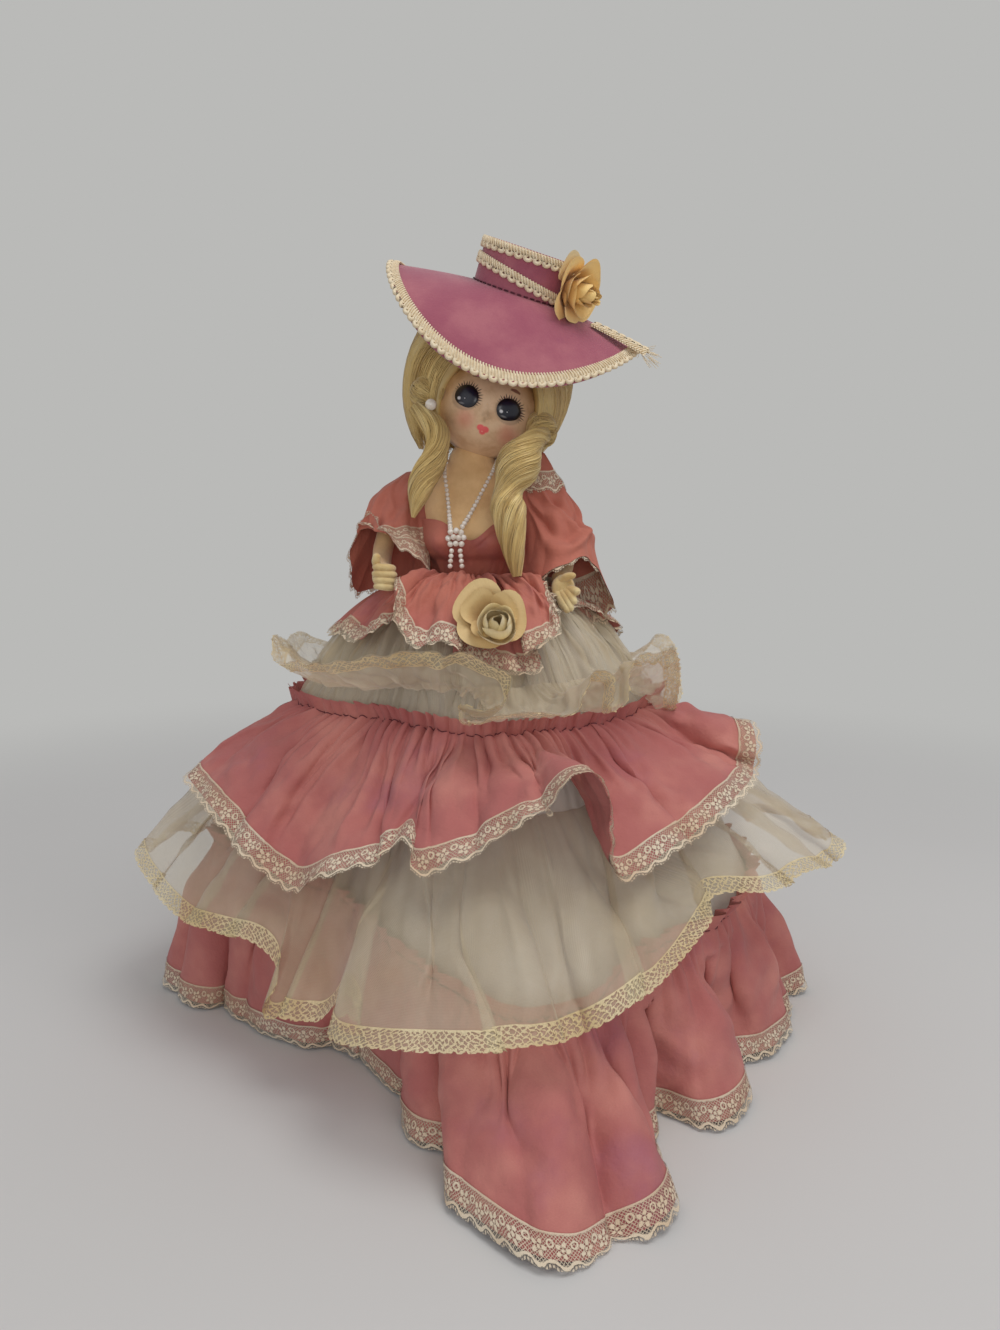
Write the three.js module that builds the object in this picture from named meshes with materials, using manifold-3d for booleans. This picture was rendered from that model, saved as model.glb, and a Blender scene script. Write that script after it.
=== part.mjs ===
// A boudoir doll: a stuffed cloth figure on a card skirt cone, in a tiered gown and a picture hat.
// Millimetres, +Z up. The doll faces -Y and the origin lies under the middle of the base disc.
import * as THREE from "three";
import Module from "manifold-3d";
import { mergeVertices } from "three/addons/utils/BufferGeometryUtils.js";

const wasm = await Module();
wasm.setup();

// Fits shared by all pieces
const GAP = 0.3; // between two pieces that touch
const DRAPE = 2; // between two layers of cloth, measured outwards from the axis
const SEAT = 0.6; // between a tier's header and the layer that it is sewn to
const CLOTH = 1.4;
const LACE = 0.8;
const AROUND = 48; // points round a skirt tier
const ROOM = 200; // longer than the head and hat, for cutting blocks

// Stand, skirt form and spine
const DISC_RADIUS = 68;
const DISC_THICKNESS = 3;
const CONE_TOP_Z = 203;
const CONE_TOP_RADIUS = 17;
const CONE_WALL = 1.5;
const SPINE_RADIUS = 3;
const SPINE_TOP_Z = 262;
const NET = { drop: 8, foot: 12 }; // below the cone's top, and above the floor

// Stuffed figure: height, half width, half depth and centre depth of its cross-sections
const FIGURE = [
  [205, 18, 16, 0],
  [217, 18, 16, 0],
  [228, 21.5, 17, -1],
  [240, 24.5, 18.5, -2],
  [251, 25.5, 16.5, -1],
  [259, 24, 13, 0],
  [264, 16, 11.5, 0],
  [268, 11.5, 10.5, 0],
  [275, 9.5, 9.5, 0],
];
const FIGURE_SIDES = 24;
const BUST = { z: 238, height: 10, turn: 34, width: 24, depth: 6, cup: 2.4 }; // cup: added by the bodice
const BODICE = { low: 220, side: 248, front: 238, thickness: 1.2, ease: 1.7 };

// Neck and head: the head leans to the doll's left, which is the viewer's right
const NECK_Z = 275.3;
const HEAD_LEAN = 18;
const HEAD_UP = 26.2;
const HEAD = [23, 22.5, 22.5];
const MASK_THICKNESS = 1;
const MASK_BACK = 3;
const CHIN_ROOM_RADIUS = 4.6;
const NECK_WIRE_RADIUS = 1.6;
const NECK_WIRE_FROM = 0.75;
const NECK_WIRE_LENGTH = 24;
const EYE = { across: 10.3, high: 0.5, width: 5.7, height: 5.5, depth: 2.6 };
const WIG = { centre: [-4.5, 5, 39], radii: [41, 33, 48], low: 5 };
const FACE_OPENING = [23.8, 25.5];
const ROLL = { across: 32, forward: -13, high: 24, radii: [8, 7.5, 7], rightSqueeze: 0.86 };
const PEARL_RADIUS = 2.7;
const LEFT_RINGLET = {
  path: [[-26, -21.5, 299.5], [-22, -25, 288], [-18, -24, 276], [-21, -25, 265], [-27, -27, 253]],
  radii: [3.5, 4.5, 5, 6.5, 6, 2.5],
};
const RIGHT_RINGLET = {
  path: [[34, -21.5, 281.5], [19, -31, 273], [17, -36, 258], [19, -40, 243], [24, -41, 224]],
  radii: [4.5, 7.5, 8.5, 6.5, 2],
};

// Hat, in its own frame: the crown stands on z = 0 and the brim spreads from its foot
const HAT_AT = [-2, -2, 81.5];
const HAT_PITCH = 14;
const CROWN_RADIUS = 22.5;
const CROWN_HEIGHT = 20;
const CROWN_WALL = 1.4;
const BRIM_THICKNESS = 1.5;
const BRIM_REACH = { front: 32, side: 39, back: 34 };
const BRIM_DROP = { front: 37, side: 5, back: 26 };
const BRIM_SIDES = 36;
const BRAID_WIDTH = 5;
const BRAID_THICKNESS = 1.2;
const HAT_ROSE = { turn: 62, radius: 11.5, height: 13, z: 13 };
const BRAID_TAIL = { length: 30, width: 6 };

// Arms: points of the left arm from its shoulder pin; the right arm is mirrored and stretched
const SHOULDER = [36, 0, 257];
const SHOULDER_PIN = { radius: 1.6, inside: 13, outside: 38.5 };
const ARM_PATH = [[0, 0, 4], [-3, -1, -8], [-7, -8, -24], [-6, -20, -32], [-4, -29, -34]];
const ARM_RADII = [5, 5, 4.8, 4.2, 3.8];
const RIGHT_REACH = [1.3, 1, 1.1];
const FIST = { length: 17, width: 6.5, thickness: 6.5 };
const PALM = { length: 21, width: 8.5, thickness: 3 };

// Sleeves, from the shoulder pin: height, distance outwards and to the front, half width and half depth
const SLEEVES = {
  left: [
    { z: 12, x: 2, y: 1, rx: 4.5, ry: 6 },
    { z: 4, x: 3, y: 0, rx: 10.5, ry: 12 },
    { z: -8, x: 5.5, y: -3, rx: 11, ry: 13 },
    { z: -20, x: 7, y: -11, rx: 13, ry: 15 },
    { z: -32, x: 5, y: -19, rx: 16, ry: 17 },
  ],
  right: [
    { z: 20, x: 2, y: 1, rx: 5, ry: 6 },
    { z: 7, x: 3, y: 0, rx: 11, ry: 12 },
    { z: -10, x: 7, y: -3, rx: 12, ry: 14 },
    { z: -24, x: 12, y: -6, rx: 15, ry: 17 },
    { z: -35, x: 16, y: -11, rx: 18, ry: 20 },
  ],
};
const SLEEVE_SIDES = 21;
const ARMHOLE_RADIUS = 6;
const SLEEVE_FOLDS = { count: 7, depth: 0.1 };
const SLEEVE_HEM_DROP = 4;
const SLEEVE_BAND = { left: [2, 3], right: [0.4, 1] };

// Gown tiers: hem points as azimuth from the front in degrees (viewer's right is positive), radius, height.
// The front follows the dress as it lies; the back carries even folds.
const WAIST_Z = 217;
const FLARE = 0.6;
const UNDERSKIRT = {
  front: [[-90, 134, 62], [-62, 104, 62], [-42, 88, 64], [-22, 98, 66], [5, 126, 66], [30, 127, 66],
    [60, 132, 64], [90, 146, 62]],
  back: { radius: 138, wave: 3, height: 62, lift: 0 },
};
const BOTTOM_FLOUNCE = {
  front: [[-93, 157, 3], [-77, 117, 3], [-62, 95, 4], [-42, 84, 4], [-26, 92, 3], [-10, 115, 2], [1, 160, 2],
    [10, 195, 2], [22, 178, 2], [33, 140, 3], [43, 152, 3], [54, 141, 4], [66, 146, 4], [87, 166, 3]],
  back: { radius: 158, wave: 9, height: 3, lift: 0 },
};
const LOWER_SHEER = {
  head: 118,
  front: [[-90, 169, 78], [-70, 150, 70], [-55, 128, 66], [-38, 127, 68], [-24, 134, 60], [-11, 156, 54],
    [3, 163, 53], [18, 160, 60], [38, 142, 74], [51, 140, 85], [65, 150, 80], [76, 163, 77], [90, 187, 82]],
  back: { radius: 168, wave: 7, height: 76, lift: 4 },
};
const UPPER_FLOUNCE = {
  head: 156,
  front: [[-90, 142, 114], [-72, 128, 105], [-57, 119, 98], [-38, 121, 97], [-20, 126, 111], [-11, 117, 116],
    [-3, 125, 113], [6, 133, 128], [17, 148, 150], [27, 139, 113], [41, 136, 117], [59, 138, 126],
    [90, 141, 125]],
  back: { radius: 138, wave: 6, height: 112, lift: 4 },
};
const OVERSKIRT = { head: 216.5, foot: 164, puff: 3 };
const TOP_SHEER = {
  head: 176,
  front: [[-90, 101, 188], [-60, 104, 189], [-32, 106, 189], [-9, 110, 188], [9, 111, 168], [27, 118, 169],
    [52, 110, 163], [90, 108, 167]],
  back: { radius: 108, wave: 4, height: 176, lift: 9 },
};
const PEPLUM = {
  head: 218,
  front: [[-90, 67, 191], [-60, 66, 195], [-42, 62, 199], [-24, 73, 195], [-5, 62, 192], [12, 74, 187],
    [30, 74, 196], [50, 64, 200], [90, 70, 198]],
  back: { radius: 68, wave: 4, height: 192, lift: 3 },
};
const BACK_FOLD = 20; // degrees from crest to hollow at the back
const SEAM = 10; // how far above the underskirt's edge the bottom flounce is sewn on
const HOLD = 5; // how far past its own edges a layer still holds the next one out
const LACE_FROM = 0.74; // where a lace edging starts, from header 0 to hem 1

// Waist rose and pearls
const WAIST_ROSE = { x: 9, z: 207, radius: 14.5, height: 12, tip: 62, sink: 1.5 };
const STRAND = { radius: 1.25, knot: [-6.5, 239], neckTurn: 78, neckZ: 268.5 };
const KNOT_RADIUS = 3.6;
const DROP_LENGTH = 13;

// Colours
const PINK = 0xc4706f;
const MAUVE = 0xb0647e;
const IVORY = 0xd6ccb4;
const CREAM = 0xe6d4b2;
const SKIN = 0xcfa57c;
const STRAW = 0xd2b878;
const PEARL = 0xf2ece0;
const WIRE = 0x8d8a84;

const group = new THREE.Group();
const headGroup = new THREE.Group();
headGroup.position.set(0, 0, NECK_Z);
headGroup.rotation.y = THREE.MathUtils.degToRad(HEAD_LEAN);
const hatGroup = new THREE.Group();
hatGroup.position.set(...HAT_AT);
hatGroup.rotation.x = THREE.MathUtils.degToRad(HAT_PITCH);
group.add(headGroup);
headGroup.add(hatGroup);

// Small helpers
const rad = THREE.MathUtils.degToRad;
const mix = THREE.MathUtils.lerp;
const vec = (x, y, z) => new THREE.Vector3(x, y, z);
const hill = (distance, width) => Math.exp(-((distance / width) ** 2));
const steps = (count) => Array.from({ length: count }, (_, i) => i);

function piece(name, geometry, colour, roughness, metalness = 0, parent = group) {
  const material = new THREE.MeshStandardMaterial({ color: colour, roughness, metalness });
  const mesh = new THREE.Mesh(geometry, material);
  mesh.name = name;
  parent.add(mesh);
  return mesh;
}

// A closed skin over rings of points. Rings that loop form a shell; otherwise the two ends are capped.
function skin(rings, loops) {
  const sides = rings[0].length;
  const points = rings.flat();
  const faces = [];
  const last = loops ? rings.length : rings.length - 1;
  for (let i = 0; i < last; i++) {
    for (let j = 0; j < sides; j++) {
      const a = i * sides + j;
      const b = i * sides + ((j + 1) % sides);
      const c = ((i + 1) % rings.length) * sides + j;
      const d = ((i + 1) % rings.length) * sides + ((j + 1) % sides);
      const back = loops && i >= rings.length / 2; // the return side is cut along the same diagonals
      faces.push(...(back ? [[a, b, c], [b, d, c]] : [[a, b, d], [a, d, c]]));
    }
  }
  if (!loops) {
    for (const [ring, flip] of [[0, true], [rings.length - 1, false]]) {
      const middle = points.length;
      points.push(rings[ring].reduce((sum, p) => sum.add(p), vec(0, 0, 0)).divideScalar(sides));
      for (let j = 0; j < sides; j++) {
        const a = ring * sides + j;
        const b = ring * sides + ((j + 1) % sides);
        faces.push(flip ? [middle, b, a] : [middle, a, b]);
      }
    }
  }
  const cone = ([a, b, c]) => points[a].dot(vec(0, 0, 0).crossVectors(points[b], points[c]));
  const volume = faces.reduce((sum, face) => sum + cone(face), 0);
  const turned = volume < 0 ? faces.map(([a, b, c]) => [a, c, b]) : faces;
  const geometry = new THREE.BufferGeometry().setFromPoints(points);
  return geometry.setIndex(turned.flat());
}

// Between three.js geometries and manifold solids, for cuts
function solid(geometry) {
  const bare = geometry.index ? geometry.toNonIndexed() : geometry.clone();
  bare.deleteAttribute("normal");
  bare.deleteAttribute("uv");
  const merged = mergeVertices(bare, 1e-3);
  return new wasm.Manifold(new wasm.Mesh({
    numProp: 3,
    vertProperties: merged.attributes.position.array,
    triVerts: new Uint32Array(merged.index.array),
  }));
}

function geometryOf(cut) {
  const mesh = cut.getMesh();
  const geometry = new THREE.BufferGeometry();
  geometry.setAttribute("position", new THREE.BufferAttribute(mesh.vertProperties, 3));
  return geometry.setIndex(new THREE.BufferAttribute(mesh.triVerts, 1));
}

function ball(centre, radii, across = 16, down = 11) {
  const geometry = new THREE.SphereGeometry(1, across, down).rotateX(Math.PI / 2);
  return geometry.scale(...radii).translate(...centre);
}

function rodZ(radius, from, to, sides = 16) {
  const geometry = new THREE.CylinderGeometry(radius, radius, to - from, sides).rotateX(Math.PI / 2);
  return geometry.translate(0, 0, (from + to) / 2);
}

function rodX(radius, from, to, y, z, sides = 12) {
  const geometry = new THREE.CylinderGeometry(radius, radius, Math.abs(to - from), sides);
  return geometry.rotateZ(Math.PI / 2).translate((from + to) / 2, y, z);
}

// A tube of changing radius along a smooth path
function limb(path, radii, sides = 10, count = 12) {
  const curve = new THREE.CatmullRomCurve3(path.map((p) => vec(...p)));
  const frames = curve.computeFrenetFrames(count);
  const rings = steps(count + 1).map((i) => {
    const t = i / count;
    const place = t * (radii.length - 1);
    const low = Math.min(Math.floor(place), radii.length - 2);
    const radius = mix(radii[low], radii[low + 1], place - low);
    const centre = curve.getPointAt(t);
    return steps(sides).map((j) => {
      const turn = (2 * Math.PI * j) / sides;
      return centre.clone()
        .addScaledVector(frames.normals[i], radius * Math.cos(turn))
        .addScaledVector(frames.binormals[i], radius * Math.sin(turn));
    });
  });
  return skin(rings, false);
}

// Stand, cone and spine
piece("base_disc", rodZ(DISC_RADIUS, 0, DISC_THICKNESS, 32), 0xb9a283, 0.9);
const coneFoot = DISC_THICKNESS + GAP;
const coneRadius = (z) => mix(DISC_RADIUS, CONE_TOP_RADIUS, (z - coneFoot) / (CONE_TOP_Z - coneFoot));
const coneProfile = [
  new THREE.Vector2(DISC_RADIUS - CONE_WALL, coneFoot),
  new THREE.Vector2(DISC_RADIUS, coneFoot),
  new THREE.Vector2(CONE_TOP_RADIUS, CONE_TOP_Z),
  new THREE.Vector2(CONE_TOP_RADIUS - CONE_WALL, CONE_TOP_Z),
  new THREE.Vector2(DISC_RADIUS - CONE_WALL, coneFoot),
];
piece("skirt_cone", new THREE.LatheGeometry(coneProfile, 32).rotateX(Math.PI / 2), 0xc8b48f, 0.9);
piece("spine_dowel", rodZ(SPINE_RADIUS, coneFoot, SPINE_TOP_Z), 0xb98d58, 0.7);

// Stuffed figure. grow moves its surface outwards; turn is measured from the front.
function figurePoint(z, turn, grow) {
  const above = Math.max(1, FIGURE.findIndex(([height]) => height >= z));
  const [z0, w0, d0, y0] = FIGURE[above - 1];
  const [z1, w1, d1, y1] = FIGURE[above];
  const t = (z - z0) / (z1 - z0);
  const side = Math.abs(THREE.MathUtils.euclideanModulo(turn + 180, 360) - 180);
  const swell = BUST.depth + (grow > 0 ? BUST.cup : 0);
  const bust = swell * hill(z - BUST.z, BUST.height) * hill(side - BUST.turn, BUST.width);
  const width = mix(w0, w1, t) + grow;
  const depth = mix(d0, d1, t) + grow + bust;
  return vec(width * Math.sin(rad(turn)), mix(y0, y1, t) - depth * Math.cos(rad(turn)), z);
}

const figureTurns = steps(FIGURE_SIDES).map((j) => (360 * j) / FIGURE_SIDES);
const figureHeights = FIGURE.flatMap(([z], i) => (i ? [(z + FIGURE[i - 1][0]) / 2, z] : [z]));
const figureSkin = skin(figureHeights.map((z) => figureTurns.map((turn) => figurePoint(z, turn, 0))), false);
const spineHole = solid(rodZ(SPINE_RADIUS + GAP, FIGURE[0][0] - 1, SPINE_TOP_Z + GAP));
const pinHoles = [-1, 1].map((side) => {
  const inside = side * (SHOULDER_PIN.inside - GAP);
  return solid(rodX(SHOULDER_PIN.radius + GAP, inside, side * SHOULDER[0], SHOULDER[1], SHOULDER[2]));
});
const torso = pinHoles.reduce((rest, hole) => rest.subtract(hole), solid(figureSkin).subtract(spineHole));
piece("torso", geometryOf(torso), SKIN, 0.9);

// Bodice: a shell over the figure with a sweetheart top edge
const bodiceTop = (turn) => {
  const side = Math.abs(THREE.MathUtils.euclideanModulo(turn + 180, 360) - 180);
  return mix(BODICE.side, BODICE.front, hill(side, 22));
};
const bodiceRing = (t, lift) => figureTurns.map((turn) => {
  const ease = t > 0 ? BODICE.ease : SEAT; // close at the waist
  return figurePoint(mix(BODICE.low, bodiceTop(turn), t), turn, ease + lift);
});
const bodiceSteps = [0, 0.25, 0.5, 0.75, 1];
const bodiceOuter = bodiceSteps.map((t) => bodiceRing(t, BODICE.thickness));
const bodiceInner = bodiceSteps.map((t) => bodiceRing(t, 0)).reverse();
piece("bodice", skin([...bodiceOuter, ...bodiceInner], true), PINK, 0.85);

// A closed curve through [azimuth, radius, height] points, read at any azimuth
function hemLine({ front, back }) {
  const points = [...front];
  const first = front[0][0] + 360;
  const start = front[front.length - 1][0];
  const folds = Math.round((first - start) / BACK_FOLD);
  for (let i = 1; i < folds; i++) {
    const swing = i % 2 ? 1 : -1;
    const azimuth = mix(start, first, i / folds);
    points.push([azimuth, back.radius + swing * back.wave, back.height + swing * back.lift]);
  }
  const count = points.length;
  const at = (i) => {
    const turn = Math.floor(i / count);
    const [azimuth, radius, height] = points[i - turn * count];
    return [azimuth + 360 * turn, radius, height];
  };
  return (azimuth) => {
    const a = points[0][0] + THREE.MathUtils.euclideanModulo(azimuth - points[0][0], 360);
    let i = 0;
    while (at(i + 1)[0] <= a) i++;
    const [p0, p1, p2, p3] = [at(i - 1), at(i), at(i + 1), at(i + 2)];
    const span = p2[0] - p1[0];
    const t = (a - p1[0]) / span;
    const read = (k) => {
      const slope1 = ((p2[k] - p0[k]) / (p2[0] - p0[0])) * span;
      const slope2 = ((p3[k] - p1[k]) / (p3[0] - p1[0])) * span;
      const bend = (2 * t - 3) * t * t;
      return (1 + bend) * p1[k] - bend * p2[k] + t * (t - 1) ** 2 * slope1 + t * t * (t - 1) * slope2;
    };
    return { radius: read(1), height: read(2) };
  };
}

// A tier of cloth: from its header to its hem, held outside the layers beneath it.
// outer gives the radius of its built rings at a height, so that the next tier can be fitted to it.
function tier({ headZ, headRadius, hem, flare, places, over = [], ease = DRAPE }) {
  const limit = (azimuth, z) => Math.max(0, ...over.map((below) => below.outer(azimuth, z) + ease + CLOTH));
  const at = (azimuth, t) => {
    const foot = hem(azimuth);
    const top = headZ(azimuth);
    const z = mix(top, foot.height, t);
    const radius = mix(headRadius(azimuth), foot.radius, t ** flare);
    return { radius: t > 0 ? Math.max(radius, limit(azimuth, z)) : radius, z };
  };
  const outer = (azimuth, z) => {
    const rings = places.map((t) => at(azimuth, t));
    const last = rings[rings.length - 1];
    if (z > rings[0].z + HOLD || z < last.z - 3 * HOLD) return 0;
    const next = rings.findIndex((ring) => ring.z <= z);
    if (next === 0) return rings[0].radius;
    if (next < 0) return last.radius;
    const share = (z - rings[next].z) / (rings[next - 1].z - rings[next].z);
    return mix(rings[next].radius, rings[next - 1].radius, share);
  };
  return { at, outer, places };
}

const azimuths = steps(AROUND).map((j) => (360 * j) / AROUND);
const around = (azimuth, radius, z) => {
  return vec(radius * Math.sin(rad(azimuth)), -radius * Math.cos(rad(azimuth)), z);
};

// The shell of a tier over some of its places; lift holds a trim off the cloth beneath.
// A hanging tier is thick outwards and a level one is thick upwards.
function shell(cloth, places, thickness, lift = 0, level = false) {
  const ring = (t, offset) => azimuths.map((azimuth) => {
    const { radius, z } = cloth.at(azimuth, t);
    return level ? around(azimuth, radius, z + offset) : around(azimuth, radius + offset, z);
  });
  const outer = places.map((t) => ring(t, lift));
  const inner = places.map((t) => ring(t, lift - thickness)).reverse();
  return skin([...outer, ...inner], true);
}

const TIER_STEPS = [0, 0.35, LACE_FROM, 1];
const waistRadius = FIGURE[1][1] + SEAT + CLOTH;
const constant = (value) => () => value;

const underskirt = tier({
  headZ: constant(WAIST_Z),
  headRadius: constant(waistRadius),
  hem: hemLine(UNDERSKIRT),
  flare: FLARE,
  places: [0, 0.1, 0.4, 1],
});
piece("underskirt", shell(underskirt, underskirt.places, CLOTH), 0xe4e0d6, 0.9);

// Net petticoat: halfway between the cone and the underskirt, and short of the floor
const netAt = (azimuth, t) => {
  const z = mix(CONE_TOP_Z - NET.drop, NET.foot, t);
  const room = underskirt.outer(azimuth, Math.max(z, UNDERSKIRT.back.height)) - CLOTH;
  const hang = Math.max(coneRadius(z) + DRAPE + CLOTH, mix(coneRadius(z), room, 0.5));
  return { radius: t > 0 ? hang : coneRadius(z) + SEAT + CLOTH, z };
};
piece("net_petticoat", shell({ at: netAt }, [0, 0.4, 1], CLOTH), 0xd9d4c6, 0.9);

const bottomHead = (azimuth) => hemLine(UNDERSKIRT)(azimuth).height + SEAM;
const bottomFlounce = tier({
  headZ: bottomHead,
  headRadius: (azimuth) => underskirt.outer(azimuth, bottomHead(azimuth)) + SEAT + CLOTH,
  hem: hemLine(BOTTOM_FLOUNCE),
  places: [0, 0.15, 0.4, LACE_FROM, 1],
  flare: 0.9,
  over: [underskirt],
});
piece("bottom_flounce", shell(bottomFlounce, bottomFlounce.places, CLOTH), PINK, 0.85);
piece("bottom_lace", shell(bottomFlounce, [LACE_FROM, 1], LACE, LACE + GAP), CREAM, 0.9);

const lowerSheer = tier({
  headZ: constant(LOWER_SHEER.head),
  headRadius: (azimuth) => underskirt.outer(azimuth, LOWER_SHEER.head) + SEAT + CLOTH,
  hem: hemLine(LOWER_SHEER),
  places: TIER_STEPS,
  flare: 0.85,
  over: [underskirt, bottomFlounce],
});
piece("lower_sheer_flounce", shell(lowerSheer, TIER_STEPS, CLOTH), IVORY, 0.7);
piece("lower_sheer_lace", shell(lowerSheer, [LACE_FROM, 1], LACE, LACE + GAP), CREAM, 0.9);

const upperFlounce = tier({
  headZ: constant(UPPER_FLOUNCE.head),
  headRadius: (azimuth) => underskirt.outer(azimuth, UPPER_FLOUNCE.head) + SEAT + CLOTH,
  hem: hemLine(UPPER_FLOUNCE),
  places: TIER_STEPS,
  flare: 0.9,
  over: [underskirt, lowerSheer],
});
piece("upper_flounce", shell(upperFlounce, TIER_STEPS, CLOTH), PINK, 0.85);
piece("upper_lace", shell(upperFlounce, [LACE_FROM, 1], LACE, LACE + GAP), CREAM, 0.9);

const overskirtFoot = (azimuth) => ({
  radius: underskirt.outer(azimuth, OVERSKIRT.foot) + DRAPE + CLOTH + OVERSKIRT.puff,
  height: OVERSKIRT.foot,
});
const overskirt = tier({
  headZ: constant(OVERSKIRT.head),
  headRadius: (azimuth) => underskirt.outer(azimuth, OVERSKIRT.head) + SEAT + CLOTH,
  hem: overskirtFoot,
  places: [0, 0.3, 0.6, 1],
  flare: FLARE,
  over: [underskirt],
});
piece("sheer_overskirt", shell(overskirt, overskirt.places, CLOTH), IVORY, 0.7);

const topSheer = tier({
  headZ: constant(TOP_SHEER.head),
  headRadius: (azimuth) => overskirt.outer(azimuth, TOP_SHEER.head - CLOTH) + SEAT,
  hem: hemLine(TOP_SHEER),
  places: TIER_STEPS,
  flare: 1,
  over: [overskirt],
});
piece("top_sheer_flounce", shell(topSheer, TIER_STEPS, CLOTH, 0, true), IVORY, 0.7);
piece("top_sheer_lace", shell(topSheer, [LACE_FROM, 1], LACE, LACE + GAP, true), CREAM, 0.9);

const peplum = tier({
  headZ: constant(PEPLUM.head),
  headRadius: (azimuth) => overskirt.outer(azimuth, OVERSKIRT.head) + SEAT + CLOTH,
  hem: hemLine(PEPLUM),
  places: TIER_STEPS,
  flare: 0.8,
  over: [overskirt],
  ease: 2 * DRAPE,
});
piece("peplum", shell(peplum, TIER_STEPS, CLOTH), PINK, 0.85);
piece("peplum_lace", shell(peplum, [LACE_FROM, 1], LACE, LACE + GAP), CREAM, 0.9);

// A fabric rose: a lobed cup that opens from its stem, along +Z
function rose(radius, height) {
  const profile = [[0.2, 0], [0.75, 0.12], [1, 0.45], [0.86, 0.8], [0.45, 1]];
  const petals = 5;
  const rings = profile.map(([reach, rise], i) => steps(20).map((j) => {
    const turn = (2 * Math.PI * j) / 20;
    const lobe = 1 + 0.1 * Math.cos(petals * turn + 0.6 * i) * reach;
    return vec(radius * reach * lobe * Math.cos(turn), radius * reach * lobe * Math.sin(turn), height * rise);
  }));
  return skin(rings, false);
}

const waistRose = piece("waist_rose", rose(WAIST_ROSE.radius, WAIST_ROSE.height), 0xe2cf9e, 0.85);
const roseTurn = THREE.MathUtils.radToDeg(Math.asin(WAIST_ROSE.x / PEPLUM.front[5][1]));
const roseRadius = peplum.outer(roseTurn, WAIST_ROSE.z - WAIST_ROSE.radius * Math.cos(rad(WAIST_ROSE.tip)));
waistRose.position.copy(around(roseTurn, roseRadius - WAIST_ROSE.sink, WAIST_ROSE.z));
waistRose.rotation.x = rad(WAIST_ROSE.tip);

// Pearl necklace: a strand from the knot round the neck and back, the knot, and a drop under it
const chest = (x, z, lift) => {
  const turn = THREE.MathUtils.radToDeg(Math.asin(THREE.MathUtils.clamp(x / (FIGURE[4][1] + lift), -1, 1)));
  const skinPoint = figurePoint(z, turn, lift);
  return vec(x, Math.min(skinPoint.y, figurePoint(z, 0, lift).y), z);
};
const strandLift = BODICE.ease + BODICE.thickness + GAP + STRAND.radius;
const [knotX, knotZ] = STRAND.knot;
const neckSide = figurePoint(STRAND.neckZ, STRAND.neckTurn, strandLift);
const strandDown = (side) => [0.25, 0.55, 0.85].map((t) => {
  const x = mix(knotX + side * KNOT_RADIUS * 0.7, side * Math.abs(neckSide.x), t);
  return chest(x, mix(knotZ + KNOT_RADIUS, STRAND.neckZ, t), strandLift);
});
const behindNeck = [-1, -0.6, -0.2, 0.2, 0.6, 1].map((t) => {
  const turn = 180 + t * (180 - STRAND.neckTurn);
  return figurePoint(STRAND.neckZ + 1.5, turn, strandLift);
});
const knotPlace = chest(knotX, knotZ, strandLift + KNOT_RADIUS - STRAND.radius);
const strandEnd = (side) => {
  return knotPlace.clone().add(vec(side * KNOT_RADIUS * 0.7, 0, KNOT_RADIUS + STRAND.radius - GAP));
};
const strandPath = [
  strandEnd(1), ...strandDown(1), ...behindNeck, ...strandDown(-1).reverse(), strandEnd(-1),
];
const strandPoints = strandPath.map((p) => p.toArray());
piece("necklace_strand", limb(strandPoints, [STRAND.radius, STRAND.radius], 8, 32), PEARL, 0.3);
const knotRadii = [KNOT_RADIUS, KNOT_RADIUS, KNOT_RADIUS];
piece("necklace_knot", ball(knotPlace.toArray(), knotRadii, 10, 7), PEARL, 0.3);
const dropTop = knotZ - KNOT_RADIUS - GAP;
const dropPath = [[-1, 0], [-1, -0.6], [0, -1], [1, -0.6], [1, 0]].map(([side, fall]) => {
  return [knotX + side * 2.4, knotPlace.y, dropTop + fall * DROP_LENGTH];
});
piece("necklace_drop", limb(dropPath, [STRAND.radius, STRAND.radius], 8, 10), PEARL, 0.3);

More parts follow.
